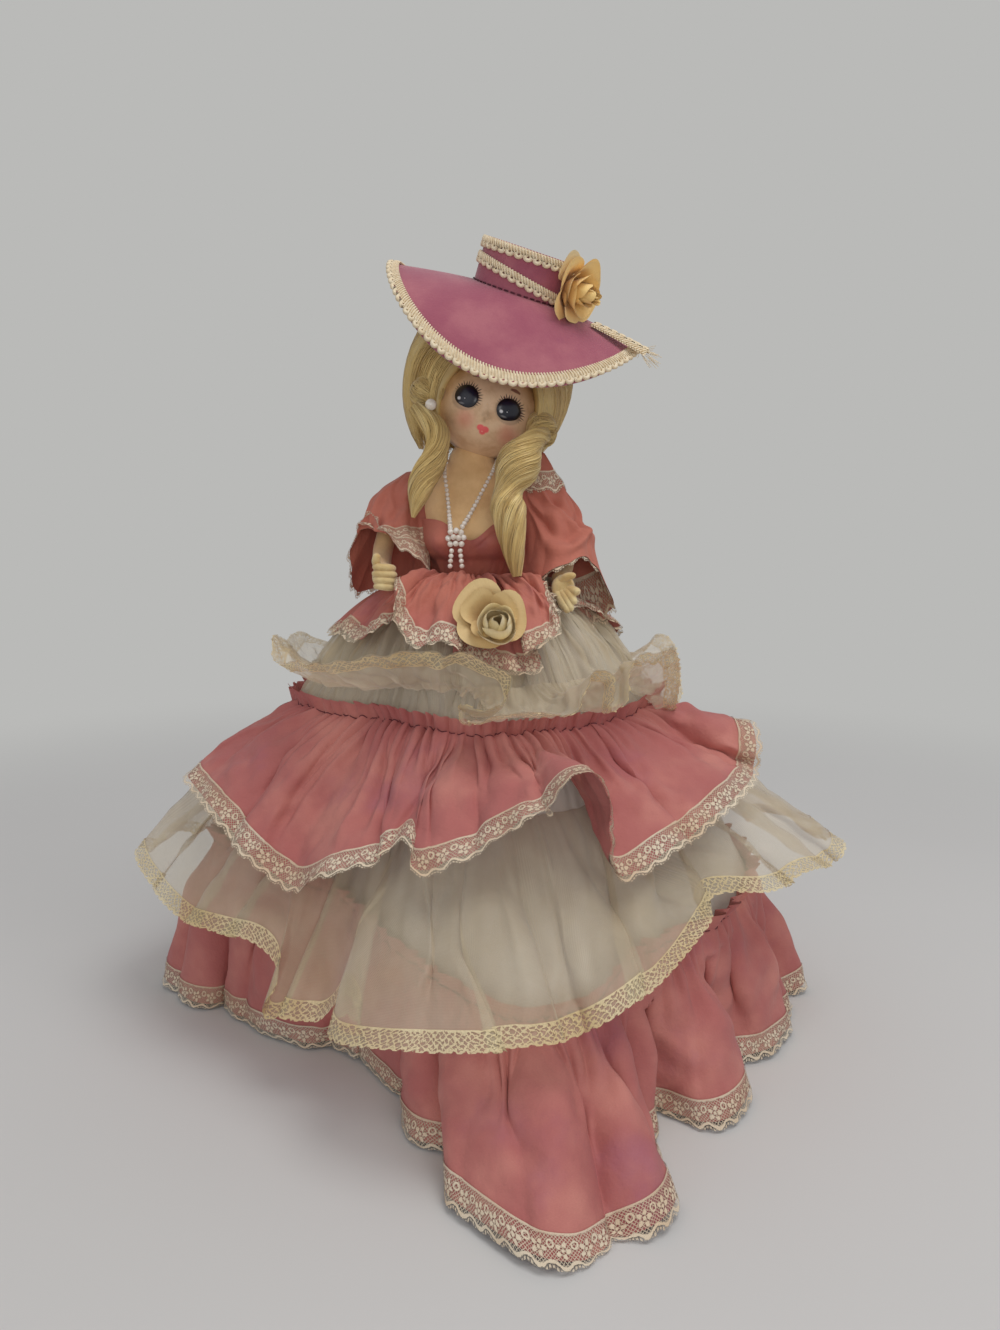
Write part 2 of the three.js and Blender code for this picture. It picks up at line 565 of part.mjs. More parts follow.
// Arms, hands and shoulder pins. side is -1 for the viewer's left and 1 for the viewer's right.
function armParts(name, side) {
  const reach = side > 0 ? RIGHT_REACH : [1, 1, 1];
  const [pinX, pinY, pinZ] = SHOULDER;
  const path = ARM_PATH.map(([x, y, z]) => {
    return [side * (pinX - x * reach[0]), pinY + y * reach[1], pinZ + z * reach[2]];
  });
  const holeEnds = [pinX - 2 * ARM_RADII[0], SHOULDER_PIN.outside + GAP].map((x) => side * x);
  const pinHole = rodX(SHOULDER_PIN.radius + GAP, ...holeEnds, pinY, pinZ);
  piece(`${name}_arm`, geometryOf(solid(limb(path, ARM_RADII)).subtract(solid(pinHole))), SKIN, 0.9);
  const pinEnds = [SHOULDER_PIN.inside, SHOULDER_PIN.outside].map((x) => side * x);
  piece(`${name}_shoulder_pin`, rodX(SHOULDER_PIN.radius, ...pinEnds, pinY, pinZ), WIRE, 0.4, 0.9);

  const wrist = vec(...path[path.length - 1]);
  const along = wrist.clone().sub(vec(...path[path.length - 2])).normalize();
  const { length, width, thickness } = side > 0 ? PALM : FIST;
  const outline = side > 0 ? [0.45, 0.8, 1, 0.75, 0.2] : [0.6, 1, 1.05, 0.95, 0.45];
  const flat = vec(0, 0, 1).addScaledVector(along, -along.z).normalize();
  const across = vec(0, 0, 0).crossVectors(along, flat);
  const rings = outline.map((share, i) => steps(12).map((j) => {
    const turn = (2 * Math.PI * j) / 12;
    return wrist.clone()
      .addScaledVector(along, GAP + 0.1 + (length * i) / (outline.length - 1))
      .addScaledVector(across, thickness * share * Math.cos(turn))
      .addScaledVector(flat, width * share * Math.sin(turn));
  }));
  piece(`${name}_hand`, skin(rings, false), 0xdcc79a, 0.8);
}

// Sleeves: bells that hang round the arms, with a lace band at the top and a lace cuff
function sleeveParts(name, side) {
  const rows = SLEEVES[name];
  const ring = (at, offset) => {
    const low = Math.min(Math.floor(at), rows.length - 2);
    const read = (key) => mix(rows[low][key], rows[low + 1][key], at - low);
    const share = at / (rows.length - 1);
    return steps(SLEEVE_SIDES).map((j) => {
      const turn = (2 * Math.PI * j) / SLEEVE_SIDES;
      const fold = 1 + SLEEVE_FOLDS.depth * share * Math.cos(SLEEVE_FOLDS.count * turn);
      const x = read("x") + (read("rx") * fold + offset) * Math.cos(turn);
      const y = read("y") + (read("ry") * fold + offset) * Math.sin(turn);
      const drop = SLEEVE_HEM_DROP * share ** 2 * Math.sin(turn);
      return vec(side * (SHOULDER[0] + x), SHOULDER[1] + y, SHOULDER[2] + read("z") - drop);
    });
  };
  const wrap = (places, thickness, lift) => {
    const outer = places.map((at) => ring(at, lift));
    const inner = places.map((at) => ring(at, lift - thickness)).reverse();
    return skin([...outer, ...inner], true);
  };
  const armholeEnds = [side * SHOULDER_PIN.inside, side * SHOULDER[0]];
  const armhole = rodX(ARMHOLE_RADIUS, ...armholeEnds, SHOULDER[1], SHOULDER[2]);
  const [bandFrom, bandTo] = SLEEVE_BAND[name];
  const bell = [0, 1, 2, 3, 3.6, 4, bandFrom, bandTo].sort((a, b) => a - b);
  const places = bell.filter((at, i) => at !== bell[i - 1]);
  piece(`${name}_sleeve`, geometryOf(solid(wrap(places, CLOTH, 0)).subtract(solid(armhole))), PINK, 0.85);
  piece(`${name}_sleeve_band`, wrap([bandFrom, bandTo], LACE, LACE + GAP), CREAM, 0.9);
  piece(`${name}_cuff_lace`, wrap([3.6, 4], LACE, LACE + GAP), CREAM, 0.9);
}

for (const [name, side] of [["left", -1], ["right", 1]]) {
  armParts(name, side);
  sleeveParts(name, side);
}

// Head: neck wire, stuffed ball, face mask and eyes, in the head's own frame
const headCentre = [0, 0, HEAD_UP];
const grownHead = (grow) => HEAD.map((radius) => radius + grow);
piece("neck_wire", rodZ(NECK_WIRE_RADIUS, NECK_WIRE_FROM, NECK_WIRE_LENGTH), WIRE, 0.4, 0.9, headGroup);
const wireHole = solid(rodZ(NECK_WIRE_RADIUS + GAP, 0, NECK_WIRE_LENGTH + GAP));
piece("head_core", geometryOf(solid(ball(headCentre, HEAD)).subtract(wireHole)), SKIN, 0.9, 0, headGroup);

const block = () => new THREE.BoxGeometry(ROOM, ROOM, ROOM);
const front = (back) => solid(block().translate(0, back - ROOM / 2, HEAD_UP));
const maskOuter = GAP + MASK_THICKNESS;
const maskBlock = solid(ball(headCentre, grownHead(maskOuter)));
const chinRoom = solid(rodZ(CHIN_ROOM_RADIUS, -HEAD_UP, HEAD_UP));
const maskShell = maskBlock.subtract(solid(ball(headCentre, grownHead(GAP)))).subtract(chinRoom);
const mask = maskShell.intersect(front(MASK_BACK));
piece("face_mask", geometryOf(mask), 0xcdb08e, 0.8, 0, headGroup);

const eyeRoom = solid(ball(headCentre, grownHead(maskOuter + GAP)));
for (const [name, side] of [["left", -1], ["right", 1]]) {
  const y = -HEAD[1] * Math.sqrt(1 - (EYE.across / HEAD[0]) ** 2) - maskOuter;
  const eye = ball([side * EYE.across, y, HEAD_UP + EYE.high], [EYE.width, EYE.depth, EYE.height], 14, 8);
  piece(`${name}_eye`, geometryOf(solid(eye).subtract(eyeRoom)), 0x14141c, 0.1, 0, headGroup);
}

// Hat brim in the hat's frame; share runs from the crown to the edge, turn from the front
function brimPoint(turn, share, lift) {
  const c = Math.cos(turn);
  const facing = Math.abs(c) ** 1.5;
  const reach = mix(BRIM_REACH.side, c > 0 ? BRIM_REACH.front : BRIM_REACH.back, facing);
  const drop = mix(BRIM_DROP.side, c > 0 ? BRIM_DROP.front : BRIM_DROP.back, facing);
  const radius = CROWN_RADIUS + GAP + reach * share;
  return vec(radius * Math.sin(turn), -radius * c, lift - drop * share ** 1.25);
}

const brimTurns = steps(BRIM_SIDES).map((j) => (2 * Math.PI * j) / BRIM_SIDES);
const brimRing = (share, lift) => brimTurns.map((turn) => brimPoint(turn, share, lift));
const brimShares = [0, 0.35, 0.7, 1];
const brimTop = brimShares.map((share) => brimRing(share, 0));
const brimUnder = brimShares.map((share) => brimRing(share, -BRIM_THICKNESS)).reverse();
piece("hat_brim", skin([...brimTop, ...brimUnder], true), MAUVE, 0.95, 0, hatGroup);

const braidFrom = 1 - BRAID_WIDTH / BRIM_REACH.side;
const braidRings = [
  brimRing(braidFrom, GAP),
  brimRing(1, GAP),
  brimRing(1, GAP + BRAID_THICKNESS),
  brimRing(braidFrom, GAP + BRAID_THICKNESS),
];
piece("brim_braid", skin(braidRings, true), CREAM, 0.9, 0, hatGroup);

const crownFoot = -BRIM_THICKNESS;
const crownProfile = [
  [CROWN_RADIUS - CROWN_WALL, crownFoot],
  [CROWN_RADIUS, crownFoot],
  [CROWN_RADIUS, CROWN_HEIGHT],
  [0, CROWN_HEIGHT],
  [0, CROWN_HEIGHT - CROWN_WALL],
  [CROWN_RADIUS - CROWN_WALL, CROWN_HEIGHT - CROWN_WALL],
  [CROWN_RADIUS - CROWN_WALL, crownFoot],
].map(([r, z]) => new THREE.Vector2(r, z));
piece("hat_crown", new THREE.LatheGeometry(crownProfile, 32).rotateX(Math.PI / 2), MAUVE, 0.95, 0, hatGroup);

function crownBraid(name, low) {
  const inside = CROWN_RADIUS + GAP;
  const profile = [
    [inside, low],
    [inside + BRAID_THICKNESS, low],
    [inside + BRAID_THICKNESS, low + BRAID_WIDTH],
    [inside, low + BRAID_WIDTH],
    [inside, low],
  ].map(([r, z]) => new THREE.Vector2(r, z));
  piece(name, new THREE.LatheGeometry(profile, 32).rotateX(Math.PI / 2), CREAM, 0.9, 0, hatGroup);
}
crownBraid("crown_top_braid", CROWN_HEIGHT - BRAID_WIDTH);
crownBraid("crown_band_braid", CROWN_HEIGHT - 2.6 * BRAID_WIDTH);

// Hat rose against the crown, and the loose end of the braid that runs out from under it
const hatRose = piece("hat_rose", rose(HAT_ROSE.radius, HAT_ROSE.height), 0xd9b266, 0.85, 0, hatGroup);
const roseOut = CROWN_RADIUS + 2 * GAP + BRAID_THICKNESS;
hatRose.position.copy(around(HAT_ROSE.turn, roseOut, HAT_ROSE.z));
hatRose.rotation.set(Math.PI / 2, rad(HAT_ROSE.turn), 0, "ZXY");
const tailTurn = rad(HAT_ROSE.turn + 12);
const tailAt = (distance) => (distance - CROWN_RADIUS) / BRIM_REACH.side;
const tailRing = (share, lift) => {
  const halfTurn = BRAID_TAIL.width / 2 / (CROWN_RADIUS + BRIM_REACH.side * share);
  return [[-1, 0], [1, 0], [1, 1], [-1, 1]].map(([edge, top]) => {
    return brimPoint(tailTurn + edge * halfTurn, share, lift + top * BRAID_THICKNESS);
  });
};
const tailFrom = tailAt(roseOut + HAT_ROSE.height + 2);
const tailShares = [0, 0.5, 1].map((t) => mix(tailFrom, tailFrom + BRAID_TAIL.length / BRIM_REACH.side, t));
const tailLifts = [1.5 * GAP, BRAID_THICKNESS + 2.5 * GAP, 2 * BRAID_THICKNESS + 3 * GAP];
const tailRings = tailShares.map((share, i) => tailRing(share, tailLifts[i]));
piece("braid_tail", skin(tailRings, false), CREAM, 0.9, 0, hatGroup);

// Wig: a mass of hair cut clear of the head, the face and the hat
hatGroup.updateMatrix();
const hatRoomRings = [
  ...brimShares.map((share) => brimRing(share, -BRIM_THICKNESS - GAP)),
  brimRing(1, ROOM),
];
const hatRoom = solid(skin(hatRoomRings, false).applyMatrix4(hatGroup.matrix));
const faceRoom = new THREE.CylinderGeometry(1, 1, 80, 24).scale(FACE_OPENING[0], 1, FACE_OPENING[1]);
const wigBlock = solid(ball(WIG.centre, WIG.radii, 20, 12))
  .subtract(solid(ball(headCentre, grownHead(maskOuter + 2 * GAP))))
  .subtract(solid(faceRoom.translate(0, -40, HEAD_UP)))
  .subtract(solid(block().translate(0, 0, WIG.low - ROOM / 2)))
  .subtract(hatRoom);

// Hair rolls over the ears, cut from the same mass, with a pearl under each
const rollBalls = [-1, 1].map((side) => {
  const squeeze = side > 0 ? ROLL.rightSqueeze : 1;
  return ball([side * ROLL.across * squeeze, ROLL.forward, ROLL.high], ROLL.radii, 14, 10);
});
const rollRoom = rollBalls.map((roll) => {
  const centre = roll.clone();
  centre.computeBoundingBox();
  const middle = centre.boundingBox.getCenter(vec(0, 0, 0));
  return solid(ball(middle.toArray(), ROLL.radii.map((r) => r + GAP), 14, 10));
});
const wig = rollRoom.reduce((rest, room) => rest.subtract(room), wigBlock);
piece("wig", geometryOf(wig), STRAW, 0.6, 0, headGroup);
const headRoom = solid(ball(headCentre, grownHead(maskOuter + 2 * GAP)));
for (const [name, side] of [["left", 0], ["right", 1]]) {
  const roll = solid(rollBalls[side]).subtract(headRoom);
  piece(`${name}_hair_roll`, geometryOf(roll), STRAW, 0.6, 0, headGroup);
  const across = side ? 1 : -1;
  const squeeze = side ? ROLL.rightSqueeze : 1;
  const pearl = [across * (ROLL.across * squeeze - 5), ROLL.forward - 5.5, ROLL.high - ROLL.radii[2]];
  const bead = solid(ball(pearl, [PEARL_RADIUS, PEARL_RADIUS, PEARL_RADIUS], 8, 6));
  const clear = bead.subtract(headRoom).subtract(rollRoom[side]).subtract(solid(geometryOf(wig)));
  piece(`${name}_earring`, geometryOf(clear), PEARL, 0.25, 0, headGroup);
}

// Ringlets hang from the rolls, one by the neck and one on the bust
piece("left_ringlet", limb(LEFT_RINGLET.path, LEFT_RINGLET.radii, 10, 11), STRAW, 0.6);
piece("right_ringlet", limb(RIGHT_RINGLET.path, RIGHT_RINGLET.radii, 10, 12), STRAW, 0.6);

export default group;
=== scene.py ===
# The looks of a boudoir doll: cloth, lace, felt, hair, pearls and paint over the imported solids.
# Points are in millimetres in the solids' frame: the doll faces -Y and the viewer's right is +X.
import math
from collections import namedtuple
from functools import partialmethod

import bpy
import numpy as np
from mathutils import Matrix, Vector
from mathutils.bvhtree import BVHTree


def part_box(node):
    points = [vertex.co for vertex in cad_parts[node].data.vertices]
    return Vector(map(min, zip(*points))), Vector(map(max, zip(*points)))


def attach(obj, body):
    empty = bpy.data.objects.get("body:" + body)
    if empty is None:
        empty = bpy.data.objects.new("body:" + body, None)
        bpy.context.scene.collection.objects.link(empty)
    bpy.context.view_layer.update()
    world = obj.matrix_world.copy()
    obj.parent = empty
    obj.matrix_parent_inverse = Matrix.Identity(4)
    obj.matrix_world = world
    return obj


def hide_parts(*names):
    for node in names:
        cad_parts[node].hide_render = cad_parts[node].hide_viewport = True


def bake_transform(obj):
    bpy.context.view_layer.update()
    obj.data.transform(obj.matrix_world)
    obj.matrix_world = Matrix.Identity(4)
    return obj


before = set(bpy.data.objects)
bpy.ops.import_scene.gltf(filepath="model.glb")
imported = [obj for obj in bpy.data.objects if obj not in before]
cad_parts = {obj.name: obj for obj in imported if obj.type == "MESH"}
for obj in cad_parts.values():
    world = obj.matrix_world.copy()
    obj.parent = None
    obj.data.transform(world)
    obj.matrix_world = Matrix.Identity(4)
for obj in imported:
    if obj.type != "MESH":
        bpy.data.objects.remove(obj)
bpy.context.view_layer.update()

MM = 0.001
SIDES = {"left": -1, "right": 1}  # as the viewer sees them

# Camera and light
CAMERA_AT = (14, -488, 248)
CAMERA_DOWN = 8.5  # degrees
CAMERA_LENS = 26.5
AMBIENT = 0.48
AMBIENT_COLOUR = (0.86, 0.87, 0.9, 1)
LAMPS = {  # place, what it is turned to, size and power
    "key": ((380, -380, 1300), (0, 0, 180), 700, 7.0),
    "fill": ((-900, -900, 600), (0, 0, 180), 900, 0.8),
    "front": ((60, -1100, 330), (0, 0, 230), 400, 1.25),
}
FLOOR = 4000  # half width
FLOOR_FADE = (0.4, 0.95)  # metres from the middle over which the floor turns into the backdrop
BACKDROP = (186, 186, 184)

# Layers of cloth
DRAPE = 2.0  # between two layers, outwards from the axis
SEAT = 0.6  # between a header and the layer that it is sewn to
HEADER = 0.8  # room for a header's own gathers
LET_DOWN = 0.9  # how steeply a layer eases back past the edge of the one beneath it
FAR = 400  # outside every layer
COLUMNS = 1100  # points round a tier
TIER_ROWS = 70  # points down a tier, a little past its hem
TIER_PAST = 1.25
SHOWN_ROWS = 48  # points down the cloth that is shown
HOLDING_ROWS = 44  # points down the cloth that holds the next layers out
CRUMPLE = 0.7  # depth of a tier's unevenness
CRUMPLE_WAVES = 26
LEAST_Z = 1.0  # no cloth hangs lower
BACK_FOLD = 20  # degrees from crest to hollow at the back
SEAM = 10  # how far above the underskirt's edge the bottom flounce is sewn on
FRILL = 7.0  # height of the frill above a pink flounce's stitching
LACE_WIDTH = 12.7
LACE_PAST_HEM = 3.5
LACE_LIFT = 0.5
NET_LACE_WIDTH = 9.0
NET_LACE_PAST_HEM = 1.0

# Gathers and folds: how many, ranges of half width in columns, of depth and of the shares of the tier where
# they start and end, the share over which they grow, the range of their overhang and its limit in columns
Folds = namedtuple("Folds", "number width depth start end growth overhang most", defaults=[(0, 0), 12])
COTTON_PLEATS = Folds(110, (3, 7), (1.6, 4.2), (-0.35, -0.15), (0, 0.4), 0.4, (0, 0.5))
COTTON_FOLDS = Folds(23, (13, 27), (4, 11), (-0.1, 0.15), (1.2, 3), 0.5, (0.6, 2))
BOTTOM_FOLDS = Folds(34, (8, 21), (5, 15), (-0.1, 0.15), (2, 3), 0.5, (0.8, 2.4))
SMALL_PLEATS = Folds(110, (3, 7), (0.6, 2.0), (-0.35, -0.15), (0.1, 0.8), 0.6, (0, 0.4))
LINING_FOLDS = Folds(24, (14, 24), (0.5, 2), (0, 0.3), (2, 3), 0.8)
SHEER_FOLDS = Folds(30, (6, 17), (4, 11), (-0.3, 0.3), (1, 3), 0.6, (1.5, 4.5), 24)
OVER_FOLDS = Folds(30, (8, 18), (1, 5), (-0.3, 0.1), (0.4, 0.62), 0.5, (0.3, 2))
RUFFLE_FOLDS = Folds(30, (8, 16), (0.5, 3), (-0.2, 0.4), (0.8, 2), 0.7, (0, 1))
PEPLUM_PLEATS = Folds(60, (6, 12), (1, 3), (-0.35, 0), (0.2, 0.9), 0.5, (0, 0.5))
PEPLUM_FOLDS = Folds(26, (12, 24), (2, 7), (-0.2, 0.2), (0.4, 1), 0.6, (0.2, 1.2))
SLEEVE_FOLDS = Folds(13, (8, 15), (1, 4.2), (-0.2, 0.4), (0.6, 1.5), 0.5)

# Stuffed figure: height, half width, half depth and centre depth of its cross-sections
FIGURE = [
    (205, 18, 16, 0), (217, 18, 16, 0), (228, 21.5, 17, -1), (240, 24.5, 18.5, -2), (251, 25.5, 16.5, -1),
    (259, 24, 13, 0), (264, 20.5, 12, 0), (268, 16.5, 11, 0), (275, 11.5, 9.6, 0),
]
BUST = {"z": 238, "height": 8, "turn": 34, "width": 24, "depth": 6, "cup": 2.4}
BODICE = {"low": 219, "side": 248, "front": 238, "ease": 2.4, "cups": 231.5, "creases": 15, "tucks": 32}
CONE = {"foot": 3.3, "foot_radius": 68, "top": 203, "top_radius": 17}
NET = {"drop": 8, "foot": 12}

# Gown tiers: hem points in front as azimuth (the viewer's right is positive), radius and height, and even
# folds at the back as radius, its swing, height and its swing
WAIST_Z = 217
UNDERSKIRT = {
    "front": [(-90, 134, 72), (-62, 104, 74), (-42, 88, 68), (-22, 100, 56), (5, 130, 46), (18, 134, 43),
              (30, 130, 45), (45, 128, 55), (60, 132, 58), (90, 146, 57)],
    "back": (138, 3, 62, 0),
}
BOTTOM_FLOUNCE = {
    "front": [(-93, 157, 3), (-77, 117, 3), (-62, 95, 4), (-42, 84, 4), (-26, 92, 3), (-10, 115, 2),
              (-4, 136, 3), (1, 160, 2), (5, 178, 2), (10, 193, 2), (17, 191, 2), (22.6, 182, 2),
              (28, 158, 3), (32, 134, 3), (37, 138, 3), (42, 154, 3), (48, 151, 3), (54, 137, 4),
              (60, 141, 4), (68, 150, 4), (87, 166, 3)],
    "back": (158, 9, 3, 0),
}
LOWER_SHEER_HEAD = 126
LOWER_SHEER = {
    "front": [(-90, 169, 78), (-80, 158, 69), (-69.6, 143, 62), (-57, 127, 62), (-45, 119, 60),
              (-42, 128, 40), (-34, 124, 42), (-27, 118, 44), (-22, 124, 54), (-18, 138, 51),
              (-14, 146, 50), (-6, 154, 54), (3, 158, 57), (11, 162, 61), (18.4, 160, 65), (28, 150, 69),
              (37, 144, 76), (50, 140, 87), (58, 150, 85), (68, 162, 85), (76, 172, 82), (84, 183, 88)],
    "back": (168, 7, 76, 4),
}
UPPER_FLOUNCE_HEAD = 156
UPPER_FLOUNCE = {
    "front": [(-90, 138, 122), (-81, 137, 120), (-64, 125, 112), (-52, 121, 102), (-40, 115, 94),
              (-31, 119, 102), (-22, 117, 110), (-11, 114, 117), (-4.4, 123, 111), (5, 131, 127),
              (12.8, 141, 142), (18.4, 146, 151), (21.3, 141, 142), (23.7, 135, 129), (25.9, 132, 116),
              (28.5, 138, 110.5), (39, 139, 119), (55, 140, 129), (67, 140, 135), (75, 136, 146),
              (86, 128, 149), (97, 132, 128)],
    "back": (138, 6, 112, 4),
}
OVERSKIRT = {"head": 216.5, "foot": 157, "puff": 0.5}
TOP_SHEER_HEAD = 176
TOP_SHEER = {
    "front": [(-100, 99, 186), (-72, 97, 194), (-61, 100, 184), (-43, 102, 187), (-21, 99, 193),
              (-3, 104, 195), (6, 112, 190), (9, 110, 184), (8.5, 106, 176), (4, 100, 173), (-1, 97, 173),
              (0.5, 108, 166), (6, 112, 171), (15, 116, 172), (22, 117, 173), (25, 115, 182),
              (27, 114, 188), (30, 120, 185), (30.5, 116, 171), (36, 113, 174), (39, 110, 191),
              (44, 113, 193), (56, 110, 190), (66, 106, 173), (73, 102, 158), (90, 106, 165)],
    "back": (108, 4, 176, 9),
    "sag": (7, 360),  # depth, and how far round from the front
}
PEPLUM_HEAD = 219.5
PEPLUM = {
    "front": [(-90, 62, 191), (-66, 63, 193), (-54, 64, 193), (-44, 61, 199), (-38, 55, 204),
              (-34, 53, 215), (-31, 62, 212), (-27, 68, 205), (-21.7, 71, 198), (-17, 72, 194),
              (-9, 73, 197), (-3.2, 72, 193), (-4.5, 66, 189), (3, 68, 187), (11, 71, 185), (20.5, 77, 183),
              (24, 77, 186), (23.5, 73, 191), (18.7, 78, 192), (24, 81, 197), (29.6, 79, 201),
              (33, 71, 209), (38, 60, 214), (50, 53, 212), (70, 54, 205)],
    "back": (64, 4, 192, 3),
    "sag": (-10, 42),
}

# Arms and sleeves, from the shoulder pins; the right arm is mirrored and stretched
SHOULDER = (36, 0, 257)
ARM_PATH = [(0, 0, 4), (-3, -1, -8), (-7, -8, -24), (-6, -20, -32), (-4, -29, -34)]
ARM_RADII = [5, 5, 4.8, 4.2, 3.8]
RIGHT_REACH = (1.3, 1, 1.1)
# Sleeves: rings round the arm as centre and half sizes, the first azimuth, the mouth's points, and hanging
# swags as azimuth, half span, lowest place, rise of the ends and depth
SLEEVE_COLUMNS = 260
SLEEVE_ROWS = 81
SLEEVES = {
    "left": {
        "rings": [((-30, 1, 268.5), (5, 6)), ((-36, -1, 258), (11.5, 12)), ((-38, -8, 243), (16, 15))],
        "start": 0,
        "mouth": [(-36, -28, 237), (-21, -31, 227), (-23, -14, 222), (-32, 2, 218), (-46, 8, 214),
                  (-57, 1, 212), (-59, -9, 228), (-50, -17, 250)],
        "swags": [(-30, 50, 2.1, 0.5, 1.6), (35, 45, 1.6, 0.5, 1.2)],
    },
    "right": {
        "rings": [((31.5, 1, 279), (4.5, 6)), ((34, -1, 262), (11, 12)), ((40.5, -9, 243), (15.5, 16))],
        "start": -25,
        "mouth": [(31, -32, 220), (44, -36, 227), (55, -25, 229), (70, -10, 209), (64, -6, 200),
                  (51, -14, 194), (36, -6, 205), (24, -13, 215)],
        "swags": [(15, 60, 2.55, 1.0, 2.6), (70, 60, 2.2, 0.8, 2.0), (0, 50, 1.7, 0.6, 1.6)],
    },
}
SLEEVE_CAP = [(0.98, 2.4), (0.6, 2.0), (0.25, 0.8)]  # share of the way in to the middle, and rise
SLEEVE_SEED = {"left": 71, "right": 83}
# First and last place of the lace on each sleeve, counted in its rings
SLEEVE_BAND = {"left": (1.95, 2.4), "right": (0.5, 1.1)}
CUFF = {"left": (2.35, 3.35), "right": (2.5, 3.3)}

# Neck and head. The ringlets are in the doll's frame, and the rest of the head is in its own.
NECK_Z = 275.3  # where the head leans from
# Rise of the neck's last rings above the figure, share of its girth, and how far they lean over
NECK_TOP = [(3, 0.98, 0.6), (6, 0.93, 1.6), (9, 0.8, 2.6), (11, 0.5, 3.2), (11.4, 0.05, 3.4)]
HEAD_LEAN = 18  # degrees
HEAD_UP = 26.2  # its middle above the neck
HEAD = (23, 22.5, 22.5)  # half sizes
EYE = {"across": 10.3, "high": 0.5, "width": 5.7, "height": 5.5, "dome": 1.1}
NOSE = (1.0, -5.5)
LIPS = (1.3, -11.2)
BLUSH = [((-7.5, -9.2), 7.0), ((12.5, -10.0), 7.0)]  # centre, radius
BROWS = [((-7.5, 11.5), 3.4, -0.1), ((10.6, 10.2), 2.8, 0.1)]  # centre, half width, slope
MASK_THICKNESS = 1.3
MASK_REACH = 97  # degrees from its middle to its edge
# Cheeks, nose, lips and chin of the mask: centre, width and height
MASK_HILLS = [
    ((-11, -9), 6.5, 1.1), ((12, -9), 6.5, 1.1), (NOSE, 2.0, 1.5), (LIPS, 2.8, 0.7), ((1, -18), 5, 0.9),
]
WIG = {"centre": (-4, 5, 39), "radii": (40, 33, 48), "low": 5, "top": 84, "strands": 1300, "seed": 5}
HAIR_RADIUS = 0.24
CORE_GRAIN = (0.004, 0.02)  # texture places of a lock's core, from millimetres to strands
FACE_OPENING = (23.8, 25.5, 18)  # half width, half height and half width at the neck
ROLL = {"across": 32, "forward": -13, "high": 24, "radius": 8, "half_height": 7, "strands": 300}
ROLL_SQUEEZE = {"left": 0.91, "right": 0.86}
EARRING_RADIUS = 2.7
RINGLETS = {
    "left": {
        "path": [(-26, -21.5, 299.5), (-15.5, -23, 288), (-16.5, -23, 276), (-22.5, -26, 264),
                 (-26.5, -27, 248.5)],
        "radii": [3, 5.4, 5.2, 6.2, 5.4, 0.8], "strands": 420, "twist": 0.6, "seed": 41,
    },
    "right": {
        "path": [(35, -21, 287), (28.5, -28.5, 282.5), (22, -32.5, 271.5), (17.5, -36, 258), (19, -40, 243),
                 (21.8, -41, 222)],
        "radii": [3.4, 4.6, 5.8, 9.4, 9.2, 6.2, 7.8, 6.8, 5, 2], "strands": 560, "twist": 1.0, "seed": 42,
    },
}

# Hat, in its own frame
HAT_AT = (-2, -2, 81.5)
HAT_PITCH = 14  # degrees
CROWN_RADIUS = 22.5
CROWN_HEIGHT = 20
BRIM_THICKNESS = 1.5
BRIM_REACH = {"front": 31.5, "side": 39, "back": 34}
BRIM_DROP = {"front": 34.5, "side": 5, "back": 26}
BRAID_WIDTH = 3.8
BRAID_PITCH = 4.4
BRAID_BASE = [(0.1, 0), (0.2, 0.5), (0.45, 0.7), (0.7, 0.5), (0.8, 0)]  # share of its width, and rise
BRAID_LOOP = (1.5, 0.95)  # reach and thickness of its loops
HAT_ROSE = {"turn": 57, "radius": 14.5, "height": 14, "z": 9.5}
BRAID_TAIL = {"turn": 74, "width": 6, "shares": (0.42, 1.18), "lift": (1.0, 5.2), "steps": 60, "frayed": 26}

# Petals of the roses in layers: how many, reach and rise as shares of the rose, half span in degrees and curl
HAT_BUD = [(2, 0.18, 1.38, 130, -0.13), (3, 0.3, 1.28, 105, -0.12), (3, 0.44, 1.12, 80, -0.08)]
HAT_PETALS = [(4, 0.62, 0.95, 66, 0.04), (4, 0.82, 0.84, 58, 0.12), (4, 1.0, 0.62, 52, 0.2)]
WAIST_BUD = [(3, 0.24, 1.3, 100, -0.17), (3, 0.35, 1.18, 92, -0.16), (3, 0.45, 1.02, 78, -0.08)]
WAIST_PETALS = [(3, 0.8, 0.9, 66, 0.1), (3, 1.02, 0.7, 74, 0.2)]

# Waist rose and pearls
WAIST_ROSE = {"radius": 13.5, "height": 12, "tip": 68, "stand": 7, "fall": 5.5, "shift": 3}
WAIST_BUD_AT = (3.5, -5, 2)
STRAND = {"radius": 1.3, "least": 0.85, "lift": 4.2, "knot": (-6.5, 239), "neck_turn": 78, "neck_z": 274.5,
          "neck_lift": 1.2}
KNOT_RADIUS = 3.6
KNOT_BEAD = 1.45
DROP_BEAD = 1.2
KNOT_SPOTS = [  # places of its beads, across and up
    (-1, 1.1), (0.1, 1.3), (1, 1.0), (-1.5, 0), (-0.45, 0.2), (0.55, 0.1), (1.5, 0.1), (-1.1, -1), (0, -0.9),
    (1.1, -1.0),
]

